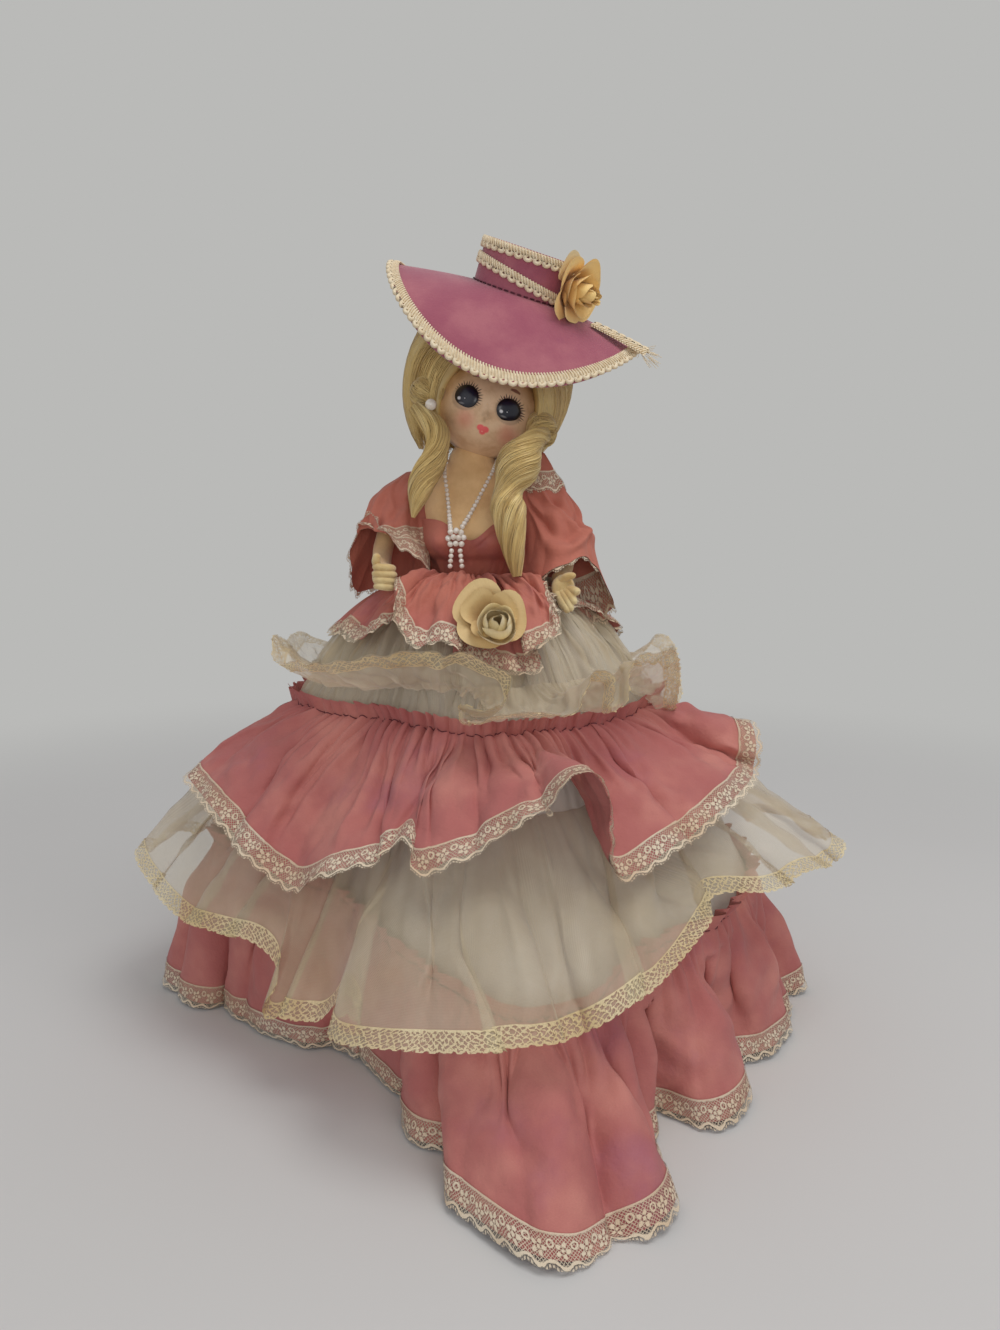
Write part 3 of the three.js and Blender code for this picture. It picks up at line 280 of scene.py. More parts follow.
# Colours as seen in plain light, 0 to 255
PINK = (180, 105, 100)
PINK_FADED = (203, 132, 120)
PINK_THREAD = (164, 84, 84)
SALMON = (187, 108, 85)
SALMON_FROM = (0.18, 0.22)  # metres above the floor
LAVENDER = (154, 92, 124)
MAUVE = (160, 84, 102)
MAUVE_DUSTY = (178, 106, 116)
MAUVE_WORN = (150, 76, 104)
IVORY = (216, 201, 174)
IVORY_AGED = (204, 186, 152)
CREAM = (230, 215, 190)
CREAM_AGED = (216, 190, 158)
NET_CREAM = (236, 220, 178)
NET_CREAM_AGED = (214, 190, 138)
LINING = (224, 219, 209)
LINING_AGED = (214, 206, 192)
NET_AGED = (206, 198, 182)
SKIN = (244, 204, 148)
SKIN_AGED = (220, 174, 118)
HAND = (234, 214, 160)
HAND_AGED = (196, 158, 92)
STRAW = (222, 192, 124)
STRAW_LIGHT = (246, 228, 170)
STRAW_DARK = (178, 142, 78)
PEARL_LIGHT = (246, 240, 230)
PEARL_DARK = (226, 212, 196)
MASK = (236, 202, 164)
MASK_AGED = (216, 178, 138)
# Painted shade: darker brown at the face mask's edge, standing in for the shadowed gap between mask and head
MASK_EDGE_SHADE = (112, 76, 50)
ROUGE = (216, 122, 104)
SMUDGE = (120, 92, 70)
LASHES = (58, 30, 46)
BROW = (122, 60, 52)
LIP = (246, 106, 106)
LIP_SHINE = (250, 176, 166)
EYE_RIM = (16, 12, 22)
EYE_MIDDLE = (16, 18, 40)
GLEAM = (240, 240, 244)
PAPER = (216, 214, 211)
PAPER_SHADE = (210, 208, 205)


# Small helpers
def linear(colour):
    shares = np.array(colour, float) / 255
    light = np.where(shares <= 0.04045, shares / 12.92, ((shares + 0.055) / 1.055) ** 2.4)
    return (*light.tolist(), 1.0)


def smooth(x):
    x = np.clip(x, 0, 1)
    return x * x * (3 - 2 * x)


def mix(a, b, t):
    return a + (b - a) * t


def hill(distance, width):
    return np.exp(-((distance / width) ** 2))


def stacked(*coordinates):
    """Points or texture places from their coordinates."""
    return np.stack(np.broadcast_arrays(*coordinates), -1)


def closed(columns):
    """Columns of a grid, with the first one once more at the end."""
    return np.concatenate([columns, columns[:, :1]], axis=1)


def signed(azimuth):
    """An azimuth from -180 to 180 degrees."""
    return (azimuth + 180) % 360 - 180


def metres(points):
    return (np.asarray(points) * MM).tolist()


def around(azimuth, radius, z):
    """Points at an azimuth in degrees from the front, at a distance from the axis."""
    turn = np.radians(azimuth)
    return stacked(radius * np.sin(turn), -radius * np.cos(turn), z)


def unit(vectors):
    return vectors / np.maximum(np.linalg.norm(vectors, axis=-1, keepdims=True), 1e-9)


def spline(points, count):
    """A smooth line through a few points, as count points at even steps between them."""
    points = np.array(points, float)
    ends = np.vstack([2 * points[0] - points[1], points, 2 * points[-1] - points[-2]])
    at = np.linspace(0, len(points) - 1, count)
    low = np.minimum(at.astype(int), len(points) - 2)
    t = (at - low)[:, None]
    before, start, end, after = (ends[low + i] for i in range(4))
    bend = 2 * before - 5 * start + 4 * end - after
    twist = 3 * (start - end) + after - before
    return start + 0.5 * t * (end - before + t * (bend + t * twist))


def row_lengths(points):
    """Distance along each row of a grid of points, from its first column."""
    steps = np.linalg.norm(np.diff(points, axis=1), axis=-1)
    return np.hstack([np.zeros((len(points), 1)), np.cumsum(steps, axis=1)])


def along_line(points, length, at):
    """Points of a line read at lengths along it; length is that of each of its points."""
    return stacked(*(np.interp(at, length, points[:, i]) for i in range(3)))


# Mesh parts: points, four-cornered faces and a texture place for each corner
def grid(points, uv, wrap=False):
    """A grid of points. A wrapped grid joins its last column to its first, and uv has one column more."""
    rows, columns = points.shape[:2]
    index = np.arange(rows * columns).reshape(rows, columns)
    if wrap:
        index = closed(index)
    corners = [np.s_[:-1, :-1], np.s_[1:, :-1], np.s_[1:, 1:], np.s_[:-1, 1:]]
    faces = np.stack([index[corner] for corner in corners], -1).reshape(-1, 4)
    places = np.stack([uv[corner] for corner in corners], 2).reshape(-1, 4, 2)
    return points.reshape(-1, 3), faces, places


def flat_uv(points):
    """Texture places in millimetres for a wrapped grid: along its last row, and down from its first."""
    looped = closed(points)
    return stacked(row_lengths(looped)[-1], row_lengths(looped.transpose(1, 0, 2)).mean(0)[:, None])


def wrapped(points):
    return grid(points, flat_uv(points), wrap=True)


def tubes(lines, radius, sides=5, shade=None):
    """Round threads along lines, an array of line, point and xyz. Their texture place is shade and length."""
    lines = np.asarray(lines, float)
    count, length = lines.shape[:2]
    along = unit(np.gradient(lines, axis=1))
    least = np.abs(along.mean(1)).argmin(1)
    across = unit(np.cross(along, np.eye(3)[least][:, None, :]))
    upward = np.cross(along, across)
    turn = np.linspace(0, 2 * np.pi, sides, endpoint=False)
    radius = np.broadcast_to(radius, (count, length))[..., None, None]
    away = across[:, :, None] * np.cos(turn)[:, None] + upward[:, :, None] * np.sin(turn)[:, None]
    points = lines[:, :, None] + radius * away
    shade = np.linspace(0, 1, count) if shade is None else shade
    run = np.linspace(0, 1, length)
    places = [stacked(tone + np.zeros(sides + 1), run[:, None]) for tone in shade]
    return join([grid(tube, uv, wrap=True) for tube, uv in zip(points, places)])


def ball(centre, radii, across=14, down=9):
    """A ball as a wrapped grid, with small open poles."""
    turn = np.linspace(0, 2 * np.pi, across, endpoint=False)
    fall = np.linspace(0.04, np.pi - 0.04, down)[:, None]
    unit_ball = stacked(np.sin(fall) * np.cos(turn), np.sin(fall) * np.sin(turn), np.cos(fall))
    uv = stacked(np.linspace(0, 1, across + 1), np.linspace(0, 1, down)[:, None])
    return grid(np.array(centre) + unit_ball * np.array(radii), uv, wrap=True)


def join(parts):
    starts = np.cumsum([0] + [len(points) for points, _, _ in parts[:-1]])
    return (
        np.vstack([points for points, _, _ in parts]),
        np.vstack([faces + start for (_, faces, _), start in zip(parts, starts)]),
        np.vstack([places for _, _, places in parts]),
    )


def placed(name, data):
    obj = bpy.data.objects.new(name, data)
    bpy.context.scene.collection.objects.link(obj)
    return obj


def mesh_object(name, points, faces, places, finish):
    mesh = bpy.data.meshes.new(name)
    mesh.from_pydata(metres(points), [], faces.tolist())
    mesh.uv_layers.new(name="UVMap").data.foreach_set("uv", places.reshape(-1))
    mesh.polygons.foreach_set("use_smooth", np.ones(len(faces), bool))
    mesh.materials.append(finish)
    return placed(name, mesh)


def piece(name, parts, finish, body="stand", replaces=(), place=None):
    """A shown object made of mesh parts, brought into the doll's frame by place.

    With body None it is attached to no body.
    """
    points, faces, places = join(parts)
    obj = mesh_object(name, place(points) if place else points, faces, places, finish)
    if replaces:
        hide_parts(*replaces)
    if body:
        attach(obj, body)
    return obj


# Shader helpers
class Num:
    """A number inside a shader. Arithmetic on it adds Math nodes to the shader's tree."""

    def __init__(self, tree, socket):
        self.tree = tree
        self.socket = socket

    def math(self, operation, *others):
        node = self.tree.nodes.new("ShaderNodeMath")
        node.operation = operation
        for slot, value in zip(node.inputs, (self, *others)):
            if isinstance(value, Num):
                self.tree.links.new(value.socket, slot)
            else:
                slot.default_value = value
        return Num(self.tree, node.outputs[0])

    __add__ = partialmethod(math, "ADD")
    __sub__ = partialmethod(math, "SUBTRACT")
    __mul__ = partialmethod(math, "MULTIPLY")
    __truediv__ = partialmethod(math, "DIVIDE")
    __mod__ = partialmethod(math, "FLOORED_MODULO")
    sin = partialmethod(math, "SINE")
    cos = partialmethod(math, "COSINE")
    abs = partialmethod(math, "ABSOLUTE")
    low = partialmethod(math, "MINIMUM")
    high = partialmethod(math, "MAXIMUM")

    def length(self, other):
        return (self * self + other * other).math("SQRT")

    def step(self, start, end):
        """Rises smoothly from 0 at start to 1 at end, or falls where start is the larger."""
        node = self.tree.nodes.new("ShaderNodeMapRange")
        node.interpolation_type = "SMOOTHSTEP"
        low, high = (0.0, 1.0) if start < end else (1.0, 0.0)
        for socket, value in zip(node.inputs[1:5], (min(start, end), max(start, end), low, high)):
            socket.default_value = value
        self.tree.links.new(self.socket, node.inputs[0])
        return Num(self.tree, node.outputs[0])


class Finish:
    """A procedural material while it is being put together."""

    def __init__(self, name, **sockets):
        self.material = bpy.data.materials.new(name)
        self.material.use_nodes = True
        self.tree = self.material.node_tree
        self.surface = self.tree.nodes["Principled BSDF"]
        for socket, value in sockets.items():
            self.surface.inputs[socket.replace("_", " ")].default_value = value

    def node(self, kind):
        return self.tree.nodes.new(kind)

    def uv(self):
        split = self.node("ShaderNodeSeparateXYZ")
        self.tree.links.new(self.node("ShaderNodeUVMap").outputs[0], split.inputs[0])
        return Num(self.tree, split.outputs[0]), Num(self.tree, split.outputs[1])

    def height(self):
        """Height of the shaded point at rest, in metres."""
        split = self.node("ShaderNodeSeparateXYZ")
        self.tree.links.new(self.node("ShaderNodeTexCoord").outputs["Object"], split.inputs[0])
        return Num(self.tree, split.outputs[2])

    def noise(self, scale, detail=4.0, stretch=(1, 1, 1), on_uv=False, rough=0.55):
        """Cloudy noise from 0 to 1; scale counts features per metre, or per texture unit."""
        places = self.node("ShaderNodeUVMap" if on_uv else "ShaderNodeTexCoord")
        stretched = self.node("ShaderNodeMapping")
        stretched.inputs["Scale"].default_value = stretch
        self.tree.links.new(places.outputs[0 if on_uv else "Object"], stretched.inputs["Vector"])
        noise = self.node("ShaderNodeTexNoise")
        for socket, value in {"Scale": scale, "Detail": detail, "Roughness": rough}.items():
            noise.inputs[socket].default_value = value
        self.tree.links.new(stretched.outputs[0], noise.inputs["Vector"])
        return Num(self.tree, noise.outputs[0])

    def blend(self, share, first, second):
        """A colour between two, each a colour 0 to 255 or a socket."""
        node = self.node("ShaderNodeMix")
        node.data_type = "RGBA"
        self.tree.links.new(share.socket, node.inputs["Factor"])
        for socket, value in zip((node.inputs[6], node.inputs[7]), (first, second)):
            if isinstance(value, bpy.types.NodeSocket):
                self.tree.links.new(value, socket)
            else:
                socket.default_value = linear(value)
        return node.outputs[2]

    def mottle(self, scale, detail, limits, first, second, **noise):
        """A colour that changes from one to another in clouds."""
        return self.blend(self.noise(scale, detail, **noise).step(*limits), first, second)

    def set(self, name, value):
        self.tree.links.new(getattr(value, "socket", value), self.surface.inputs[name])

    def bump(self, height, distance, strength=1.0):
        """Relief: a height from 0 to 1, as deep as distance in millimetres."""
        node = self.node("ShaderNodeBump")
        node.inputs["Distance"].default_value = distance * MM
        node.inputs["Strength"].default_value = strength
        self.tree.links.new(height.socket, node.inputs["Height"])
        self.set("Normal", node.outputs[0])


# Finishes. Cloth and lace have texture places in millimetres.
def crossing(first, second, pitch):
    """Threads in two directions, a pitch apart: 1 in their middles, down to 0 between them."""
    return (first * (math.pi / pitch)).sin().abs().high((second * (math.pi / pitch)).sin().abs())


def weave(finish, pitch):
    """Crossing threads, 0 in the gaps to 1 on the threads."""
    u, v = finish.uv()
    return (u * (2 * math.pi / pitch)).sin() * (v * (2 * math.pi / pitch)).sin() * 0.5 + 0.5


def cotton():
    """Dyed cotton, faded in clouds and stained. The bodice has gone more to salmon than the skirt."""
    finish = Finish("pink_cotton", Roughness=0.86, Sheen_Weight=0.06, Sheen_Roughness=0.6)
    faded = finish.mottle(26, 3, (0.4, 0.68), PINK, PINK_FADED)
    aged = finish.blend(finish.height().step(*SALMON_FROM) * 0.8, faded, SALMON)
    stains = finish.noise(15, 5, rough=0.6).step(0.55, 0.74) * 0.4
    stained = finish.blend(stains, aged, LAVENDER)
    threads = finish.noise(3.0, 2, stretch=(0.3, 2.2, 1), on_uv=True)
    finish.set("Base Color", finish.blend(threads.step(0.3, 0.8) * 0.25, stained, PINK_THREAD))
    wrinkles = finish.noise(42, 4, rough=0.5) * 0.75 + finish.noise(150, 4, rough=0.62) * 0.25
    finish.bump(wrinkles, 5.0, 0.55)
    return finish.material


def organza():
    finish = Finish("organza", Roughness=0.5, Sheen_Weight=0.3)
    finish.set("Base Color", finish.mottle(18, 4, (0.35, 0.75), IVORY, IVORY_AGED))
    u, v = finish.uv()
    threads = crossing(u, v, 0.45)
    finish.set("Alpha", threads * 0.16 + finish.noise(60, 3) * 0.2 + 0.26)
    finish.bump(finish.noise(90, 5, rough=0.65), 1.5, 0.5)
    return finish.material


def lining():
    finish = Finish("white_lining", Roughness=0.8)
    finish.set("Base Color", finish.mottle(30, 4, (0.35, 0.75), LINING, LINING_AGED))
    finish.bump(finish.noise(160, 4) * 0.6 + weave(finish, 0.8) * 0.4, 0.8, 0.5)
    return finish.material


def netting():
    finish = Finish("white_net", Roughness=0.8)
    u, v = finish.uv()
    finish.set("Alpha", crossing(u + v, u - v, 1.2).step(0.8, 0.95))
    finish.set("Base Color", finish.blend(finish.noise(40, 2), LINING, NET_AGED))
    return finish.material


def lace_finish(name, fresh, yellowed):
    finish = Finish(name, Roughness=0.85, Sheen_Weight=0.1)
    finish.set("Base Color", finish.mottle(34, 4, (0.3, 0.75), fresh, yellowed))
    return finish


def flower_lace(name, pitch, width):
    """Lace with a thread along its top, blossoms on a net, a scalloped border and loose loops outside it."""
    finish = lace_finish(name, CREAM, CREAM_AGED)
    along, across = finish.uv()
    across = across + finish.noise(0.5, 2, on_uv=True) * 1.4 - 0.7
    x = along % pitch - pitch / 2
    y = across - width * 0.45
    out = x.length(y)
    turn = y.math("ARCTAN2", x)
    lobes = (turn * 2.5).cos().abs() * pitch * 0.27 + pitch * 0.08
    petals = (lobes - out).step(-0.2, 0.3) * (out - pitch * 0.1).abs().step(0.1, 0.35)
    net = crossing(along + across, along - across, 1.4).step(0.8, 0.97) * 0.75
    sprig_x = (along + pitch / 2) % pitch - pitch / 2
    sprig = (sprig_x.length(across - width * 0.3) - pitch * 0.13).abs().step(0.5, 0.25)
    edge = (along * (2 * math.pi / pitch)).cos() * -0.07 * width + width * 0.8
    border = (across - edge).abs().step(0.06 * width, 0.03 * width)
    gaps = (along * (2 * math.pi / 1.3)).sin().step(-0.9, -0.3)
    loops = (across - edge - width * 0.1).abs().step(0.6, 0.2) * gaps
    top = across.step(width * 0.09, width * 0.05) * 0.85
    inside = (across - edge).step(0.3, 0.0)
    outside = (across - edge - width * 0.14).step(0.2, 0.0)
    ground = net.high(petals).high(sprig) * inside
    solid = ground.high(border).high(top).high(loops * outside * 0.8)
    fray = finish.noise(2.5, 3, on_uv=True).step(0.2, 0.5)
    finish.set("Alpha", solid * (fray * 0.45 + 0.55))
    finish.bump(solid, 0.5, 0.8)
    return finish.material


def net_lace(name, pitch, width):
    """Lace of open rounded cells with a thread along its top and a small scalloped edge."""
    finish = lace_finish(name, NET_CREAM, NET_CREAM_AGED)
    along, across = finish.uv()
    along = along + finish.noise(0.35, 3, on_uv=True) * 5.0
    across = across + finish.noise(0.5, 3, on_uv=True) * 3.2 - 1.6
    edge = (along * (2 * math.pi / pitch)).cos() * -0.06 * width + width * 0.86
    net = crossing(along + across * 1.3, along - across * 1.3, pitch * 0.62)
    border = (across - edge).abs().step(0.09 * width, 0.04 * width)
    top = across.step(width * 0.12, width * 0.07)
    inside = (across - edge).step(0.3, 0.0)
    solid = (net.step(0.82, 0.93) * inside).high(border).high(top)
    finish.set("Alpha", solid * (finish.noise(1.2, 2, on_uv=True) * 0.5 + 0.55))
    finish.bump(solid, 0.4, 0.8)
    return finish.material


def thread(name, colour, dark):
    finish = Finish(name, Roughness=0.9)
    finish.set("Base Color", finish.mottle(500, 3, (0.3, 0.7), colour, dark))
    finish.bump(finish.noise(2500, 2), 0.2, 0.6)
    return finish.material


PINK_COTTON = cotton()
ORGANZA = organza()
WHITE_LINING = lining()
WHITE_NET = netting()
HEM_LACE = flower_lace("hem_lace", 9.0, LACE_WIDTH)
SHEER_LACE = net_lace("sheer_lace", 5.0, NET_LACE_WIDTH)
HEM_EDGING = (HEM_LACE, LACE_WIDTH, LACE_PAST_HEM)
SHEER_EDGING = (SHEER_LACE, NET_LACE_WIDTH, NET_LACE_PAST_HEM)
SEWING_THREAD = thread("sewing_thread", (120, 54, 62), (84, 36, 44))


# Gown tiers
def ring(points, count):
    """A smooth closed line through a few points, as count points at even distances."""
    points = np.array(points, float)
    looped = np.vstack([points[-2:], points, points[:3]])
    steps = 20  # from one of the few points to the next
    dense = spline(looped, steps * (len(looped) - 1) + 1)[2 * steps:-2 * steps]
    length = row_lengths(dense[None])[0]
    return along_line(dense, length, np.linspace(0, length[-1], count, endpoint=False))


def hem_ring(shape):
    """A hem at even distances, through the front's points and even folds at the back."""
    points = list(shape["front"])
    radius, wave, height, lift = shape["back"]
    start, first = points[-1][0], points[0][0] + 360
    folds = round((first - start) / BACK_FOLD)
    for i in range(1, folds):
        swing = 1 if i % 2 else -1
        points.append((mix(start, first, i / folds), radius + swing * wave, height + swing * lift))
    return ring(around(*np.array(points, float).T), COLUMNS)


def steady(turns):
    """The azimuths round a winding hem, smoothed so that they always move on: the places of its header."""
    even = turns[0] + 360 * np.arange(COLUMNS) / COLUMNS
    reach = COLUMNS // 10
    weight = hill(np.arange(-reach, reach + 1), reach / 2.5)
    wide = np.pad(turns - even, reach, mode="wrap")
    return even + np.convolve(wide, weight / weight.sum(), mode="valid")


def ridges(t, folds, seed, columns=COLUMNS):
    """Rounded ridges that run down a tier and meet in creases: pushes outwards, and sideways in columns."""
    chance = np.random.default_rng(seed)
    outwards = np.zeros((len(t), columns))
    sideways = np.zeros((len(t), columns))
    ranges = folds.width, folds.depth, folds.start, folds.end, folds.overhang
    for place in np.arange(folds.number) * columns / folds.number:
        width, depth, start, end, overhang = (chance.uniform(*limits) for limits in ranges)
        place += chance.uniform(-0.4, 0.4) * columns / folds.number
        middle = place + chance.normal(0, 0.8) * width * t
        grown = smooth((t - start) / folds.growth) * (1 - smooth((t - end) / 0.35))
        offset = (np.arange(columns) - middle + columns / 2) % columns - columns / 2
        bell = hill(offset, width * (0.75 + 0.4 * t)) * grown
        outwards = np.maximum(outwards, depth * bell)
        sideways += overhang * offset * bell
    sideways = folds.most * np.tanh(sideways / folds.most)
    return outwards - 0.7 * outwards.mean(1, keepdims=True) * smooth(t * 3), sideways


def crumple(t, seed):
    """Slight unevenness of a tier's cloth, about -1 to 1."""
    chance = np.random.default_rng(seed)
    places = np.arange(COLUMNS) / COLUMNS
    total = np.zeros((len(t), COLUMNS))
    for _ in range(CRUMPLE_WAVES):
        run = chance.integers(14, 80) * places + chance.uniform(-5, 5) * t + chance.uniform(0, 1)
        total += np.cos(2 * np.pi * run)
    return total / math.sqrt(CRUMPLE_WAVES)


class Tier:
    """A gathered tier of cloth from its header at 0 to its hem at 1, held outside the layers beneath it."""

    def __init__(self, hem, head_z, sewn_to, pleats, folds, seed, flare=0.9, sag=(0, 360), over=(),
                 ease=DRAPE):
        turns = np.degrees(np.unwrap(np.arctan2(hem[:, 0], -hem[:, 1])))
        head_turns = steady(turns)
        if np.ndim(head_z):
            head_z = np.interp(head_turns, np.sort(turns), head_z[np.argsort(turns)])
        head_radius = sewn_to(head_turns, head_z + np.zeros(COLUMNS))
        t = np.linspace(0, TIER_PAST, TIER_ROWS)[:, None]
        gathers, shifts = ridges(t, pleats, seed)
        waves, swings = ridges(t, folds, seed + 1)
        radius = mix(head_radius, np.hypot(hem[:, 0], hem[:, 1]), t ** flare)
        sunk = sag[0] * hill(signed(turns), sag[1])
        z = mix(head_z, hem[:, 2], t) - sunk * np.sin(np.pi * np.minimum(t, 1) ** 0.8)
        plain = around(mix(head_turns, turns, smooth(t)), radius, z)
        to_right = np.roll(plain, -1, axis=1) - plain
        push = gathers + waves + crumple(t, seed + 2) * CRUMPLE * smooth(t * 3)
        points = plain + right_side(plain) * push[..., None] + to_right * (shifts + swings)[..., None]
        points[..., 2] = np.maximum(points[..., 2], LEAST_Z)
        self.steps = t[:, 0]
        self.gathers = gathers[0]
        self.points = held_out(points, over, ease * smooth(t * 6) + 0.3)
        points, faces, _ = wrapped(self.at(np.linspace(0, 1, HOLDING_ROWS)))
        self.tree = BVHTree.FromPolygons(points.tolist(), faces.tolist())

    def at(self, t):
        """Rows of the tier; t is a share for each row, or for each row and column."""
        t = np.broadcast_to(np.reshape(t, (len(t), -1)), (len(t), COLUMNS))
        place = np.clip(t / self.steps[1], 0, len(self.steps) - 1.001)
        low = place.astype(int)
        columns = np.arange(COLUMNS)
        return mix(self.points[low, columns], self.points[low + 1, columns], (place - low)[..., None])

    def reach(self, azimuths, heights):
        """How far out the cloth stands at azimuths and heights, or 0 where there is none."""
        away = around(azimuths, 1.0, 0.0)
        starts = around(azimuths, FAR, heights)
        found = np.zeros(azimuths.shape)
        for place in np.ndindex(azimuths.shape):
            hit = self.tree.ray_cast(starts[place].tolist(), (-away[place]).tolist())[3]
            found[place] = 0 if hit is None else FAR - hit
        return found

    def length(self):
        """Length of the cloth from header to hem in each column."""
        points = self.at(np.linspace(0, 1, SHOWN_ROWS // 2))
        return np.linalg.norm(np.diff(points, axis=0), axis=-1).sum(0)


def held_out(points, layers, ease):
    """Points moved away from the axis until they clear the layers beneath, eased back past their edges."""
    azimuth = np.degrees(np.arctan2(points[..., 0], -points[..., 1]))
    radius = np.hypot(points[..., 0], points[..., 1])
    least = np.zeros(radius.shape)
    for layer in layers:
        least = np.maximum(least, layer.reach(azimuth, points[..., 2]))
    least = np.where(least > 0, least + ease, 0)
    steps = np.linalg.norm(np.diff(points, axis=0), axis=-1)
    for row in range(1, len(points)):
        least[row] = np.maximum(least[row], least[row - 1] - LET_DOWN * steps[row - 1])
    for shift in (1, 2, 3, 4):
        for way in (shift, -shift):
            least = np.maximum(least, np.roll(least, way, axis=1) - LET_DOWN * shift)
    return around(azimuth, np.maximum(radius, least), points[..., 2])


def sewn_on(layer):
    """Radius of a header sewn to a layer."""
    return lambda azimuths, heights: layer.reach(azimuths, heights) + SEAT + HEADER


def flat_size(points):
    """Width and length in metres of a wrapped grid of cloth laid flat: area over mean length, and that."""
    looped = closed(points)
    falling = looped[1:, 1:] - looped[:-1, :-1]
    rising = looped[1:, :-1] - looped[:-1, 1:]
    area = np.linalg.norm(np.cross(falling, rising), axis=-1).sum() / 2
    length = row_lengths(points.transpose(1, 0, 2))[:, -1].mean()
    return float(area / length * MM), float(length * MM)


def right_side(points):
    """Unit normals of a wrapped grid of cloth. Its rows follow each other down, its columns to the right."""
    to_right = np.roll(points, -1, axis=1) - np.roll(points, 1, axis=1)
    return unit(np.cross(np.gradient(points, axis=0), to_right))


def edging(name, tier, finish, width, past, lift, node):
    """A lace edging on the last of a tier's cloth and a little past its hem."""
    share = np.linspace(past - width, past, 9)[:, None] / tier.length()
    points = tier.at(1 + share)
    points = points + right_side(points) * lift
    return piece(name, [wrapped(points)], finish, replaces=[node])


def frill(name, tier):
    """The gathered edge that stands above a flounce's stitching, and the thread in it."""
    lift = np.linspace(0, 1, 6)[:, None]
    base = tier.at(np.zeros(1))
    away = unit(base * np.array([1, 1, 0.0]))
    ripple = (tier.gathers - tier.gathers.mean()) / tier.gathers.std()
    points = base + away * (lift * 2.4 + ripple * lift * 1.3)[..., None]
    points[..., 2] += lift * (FRILL + 0.25 * ripple)
    top = piece(name, [wrapped(points)], PINK_COTTON)
    line = base + away * 0.35
    stitches = np.stack([line[0, i:i + 8] for i in range(0, COLUMNS - 8, 10)])
    return [top, piece(name + "_stitches", [tubes(stitches, 0.22, 4)], SEWING_THREAD)]


def show_tier(name, tier, finish, node, lace=None, lift=LACE_LIFT,
              frilled=False):
    """A tier's cloth, edging and frill; node and lace are the solids that it replaces."""
    points = tier.at(np.linspace(0, 1, SHOWN_ROWS))
    cloth = piece(f"{name}_cloth", [wrapped(points)], finish, replaces=[node])
    trims = []
    if lace:
        kind = SHEER_EDGING if finish == ORGANZA else HEM_EDGING
        trims.append(edging(f"{name}_edging", tier, *kind, lift, lace))
    if frilled:
        trims += frill(f"{name}_frill", tier)
    flat_size(points)


def waist(azimuths, heights):
    """Radius of the underskirt's header, on the figure's waist."""
    return FIGURE[1][1] + SEAT + 0.6 + 0 * azimuths


def over_waist(azimuths, heights):
    """Radius of the peplum's header, over the waist."""
    half_width, half_depth = (half + 2.5 * SEAT for half in FIGURE[1][1:3])
    turn = np.radians(azimuths)
    return 1 / np.hypot(np.sin(turn) / half_width, np.cos(turn) / half_depth)


def skirt():
    underskirt_hem = hem_ring(UNDERSKIRT)
    underskirt = Tier(underskirt_hem, WAIST_Z, waist, SMALL_PLEATS, LINING_FOLDS, seed=1, flare=0.6)
    show_tier("underskirt", underskirt, WHITE_LINING, "underskirt")

    turns = np.linspace(-180, 180, COLUMNS, endpoint=False)
    net_z = np.linspace(CONE["top"] - NET["drop"], NET["foot"], 30)[:, None] + np.zeros(COLUMNS)
    cone = mix(CONE["foot_radius"], CONE["top_radius"], (net_z - CONE["foot"]) / (CONE["top"] - CONE["foot"]))
    room = underskirt.reach(turns + 0 * net_z, np.maximum(net_z, underskirt_hem[:, 2].max() + 1))
    hang = np.maximum(cone + DRAPE, mix(cone, room, 0.5)) + 1.2 * np.cos(np.radians(40 * turns))
    points = around(turns, hang, net_z)
    net = piece("net_petticoat_cloth", [wrapped(points)], WHITE_NET, replaces=["net_petticoat"])
    flat_size(points)

    on_lining = sewn_on(underskirt)
    seam = underskirt_hem[:, 2] + SEAM
    bottom = Tier(hem_ring(BOTTOM_FLOUNCE), seam, on_lining, COTTON_PLEATS, BOTTOM_FOLDS,
                  seed=11, over=[underskirt])
    show_tier("bottom_flounce", bottom, PINK_COTTON, "bottom_flounce", lace="bottom_lace", frilled=True)
    lower = Tier(hem_ring(LOWER_SHEER), LOWER_SHEER_HEAD, on_lining, SMALL_PLEATS, SHEER_FOLDS,
                 seed=21, flare=0.85, over=[underskirt, bottom])
    show_tier("lower_sheer", lower, ORGANZA, "lower_sheer_flounce", lace="lower_sheer_lace")
    upper = Tier(hem_ring(UPPER_FLOUNCE), UPPER_FLOUNCE_HEAD, on_lining, COTTON_PLEATS, COTTON_FOLDS,
                 seed=31, over=[underskirt, lower])
    show_tier("upper_flounce", upper, PINK_COTTON, "upper_flounce", lace="upper_lace", frilled=True)

    foot_z = np.full(COLUMNS, float(OVERSKIRT["foot"]))
    foot = around(turns, underskirt.reach(turns, foot_z) + SEAT, foot_z)
    over = Tier(foot, OVERSKIRT["head"], on_lining, SMALL_PLEATS, OVER_FOLDS,
                seed=41, flare=OVERSKIRT["puff"], over=[underskirt], ease=SEAT)
    show_tier("overskirt", over, ORGANZA, "sheer_overskirt")
    top = Tier(hem_ring(TOP_SHEER), TOP_SHEER_HEAD, sewn_on(over), SMALL_PLEATS, RUFFLE_FOLDS,
               seed=51, flare=1.0, sag=TOP_SHEER["sag"], over=[over])
    show_tier("top_sheer", top, ORGANZA, "top_sheer_flounce", "top_sheer_lace", -LACE_LIFT)
    peplum = Tier(hem_ring(PEPLUM), PEPLUM_HEAD, over_waist, PEPLUM_PLEATS, PEPLUM_FOLDS,
                  seed=61, flare=0.8, sag=PEPLUM["sag"], over=[over], ease=2 * DRAPE)
    show_tier("peplum", peplum, PINK_COTTON, "peplum", "peplum_lace")


skirt()


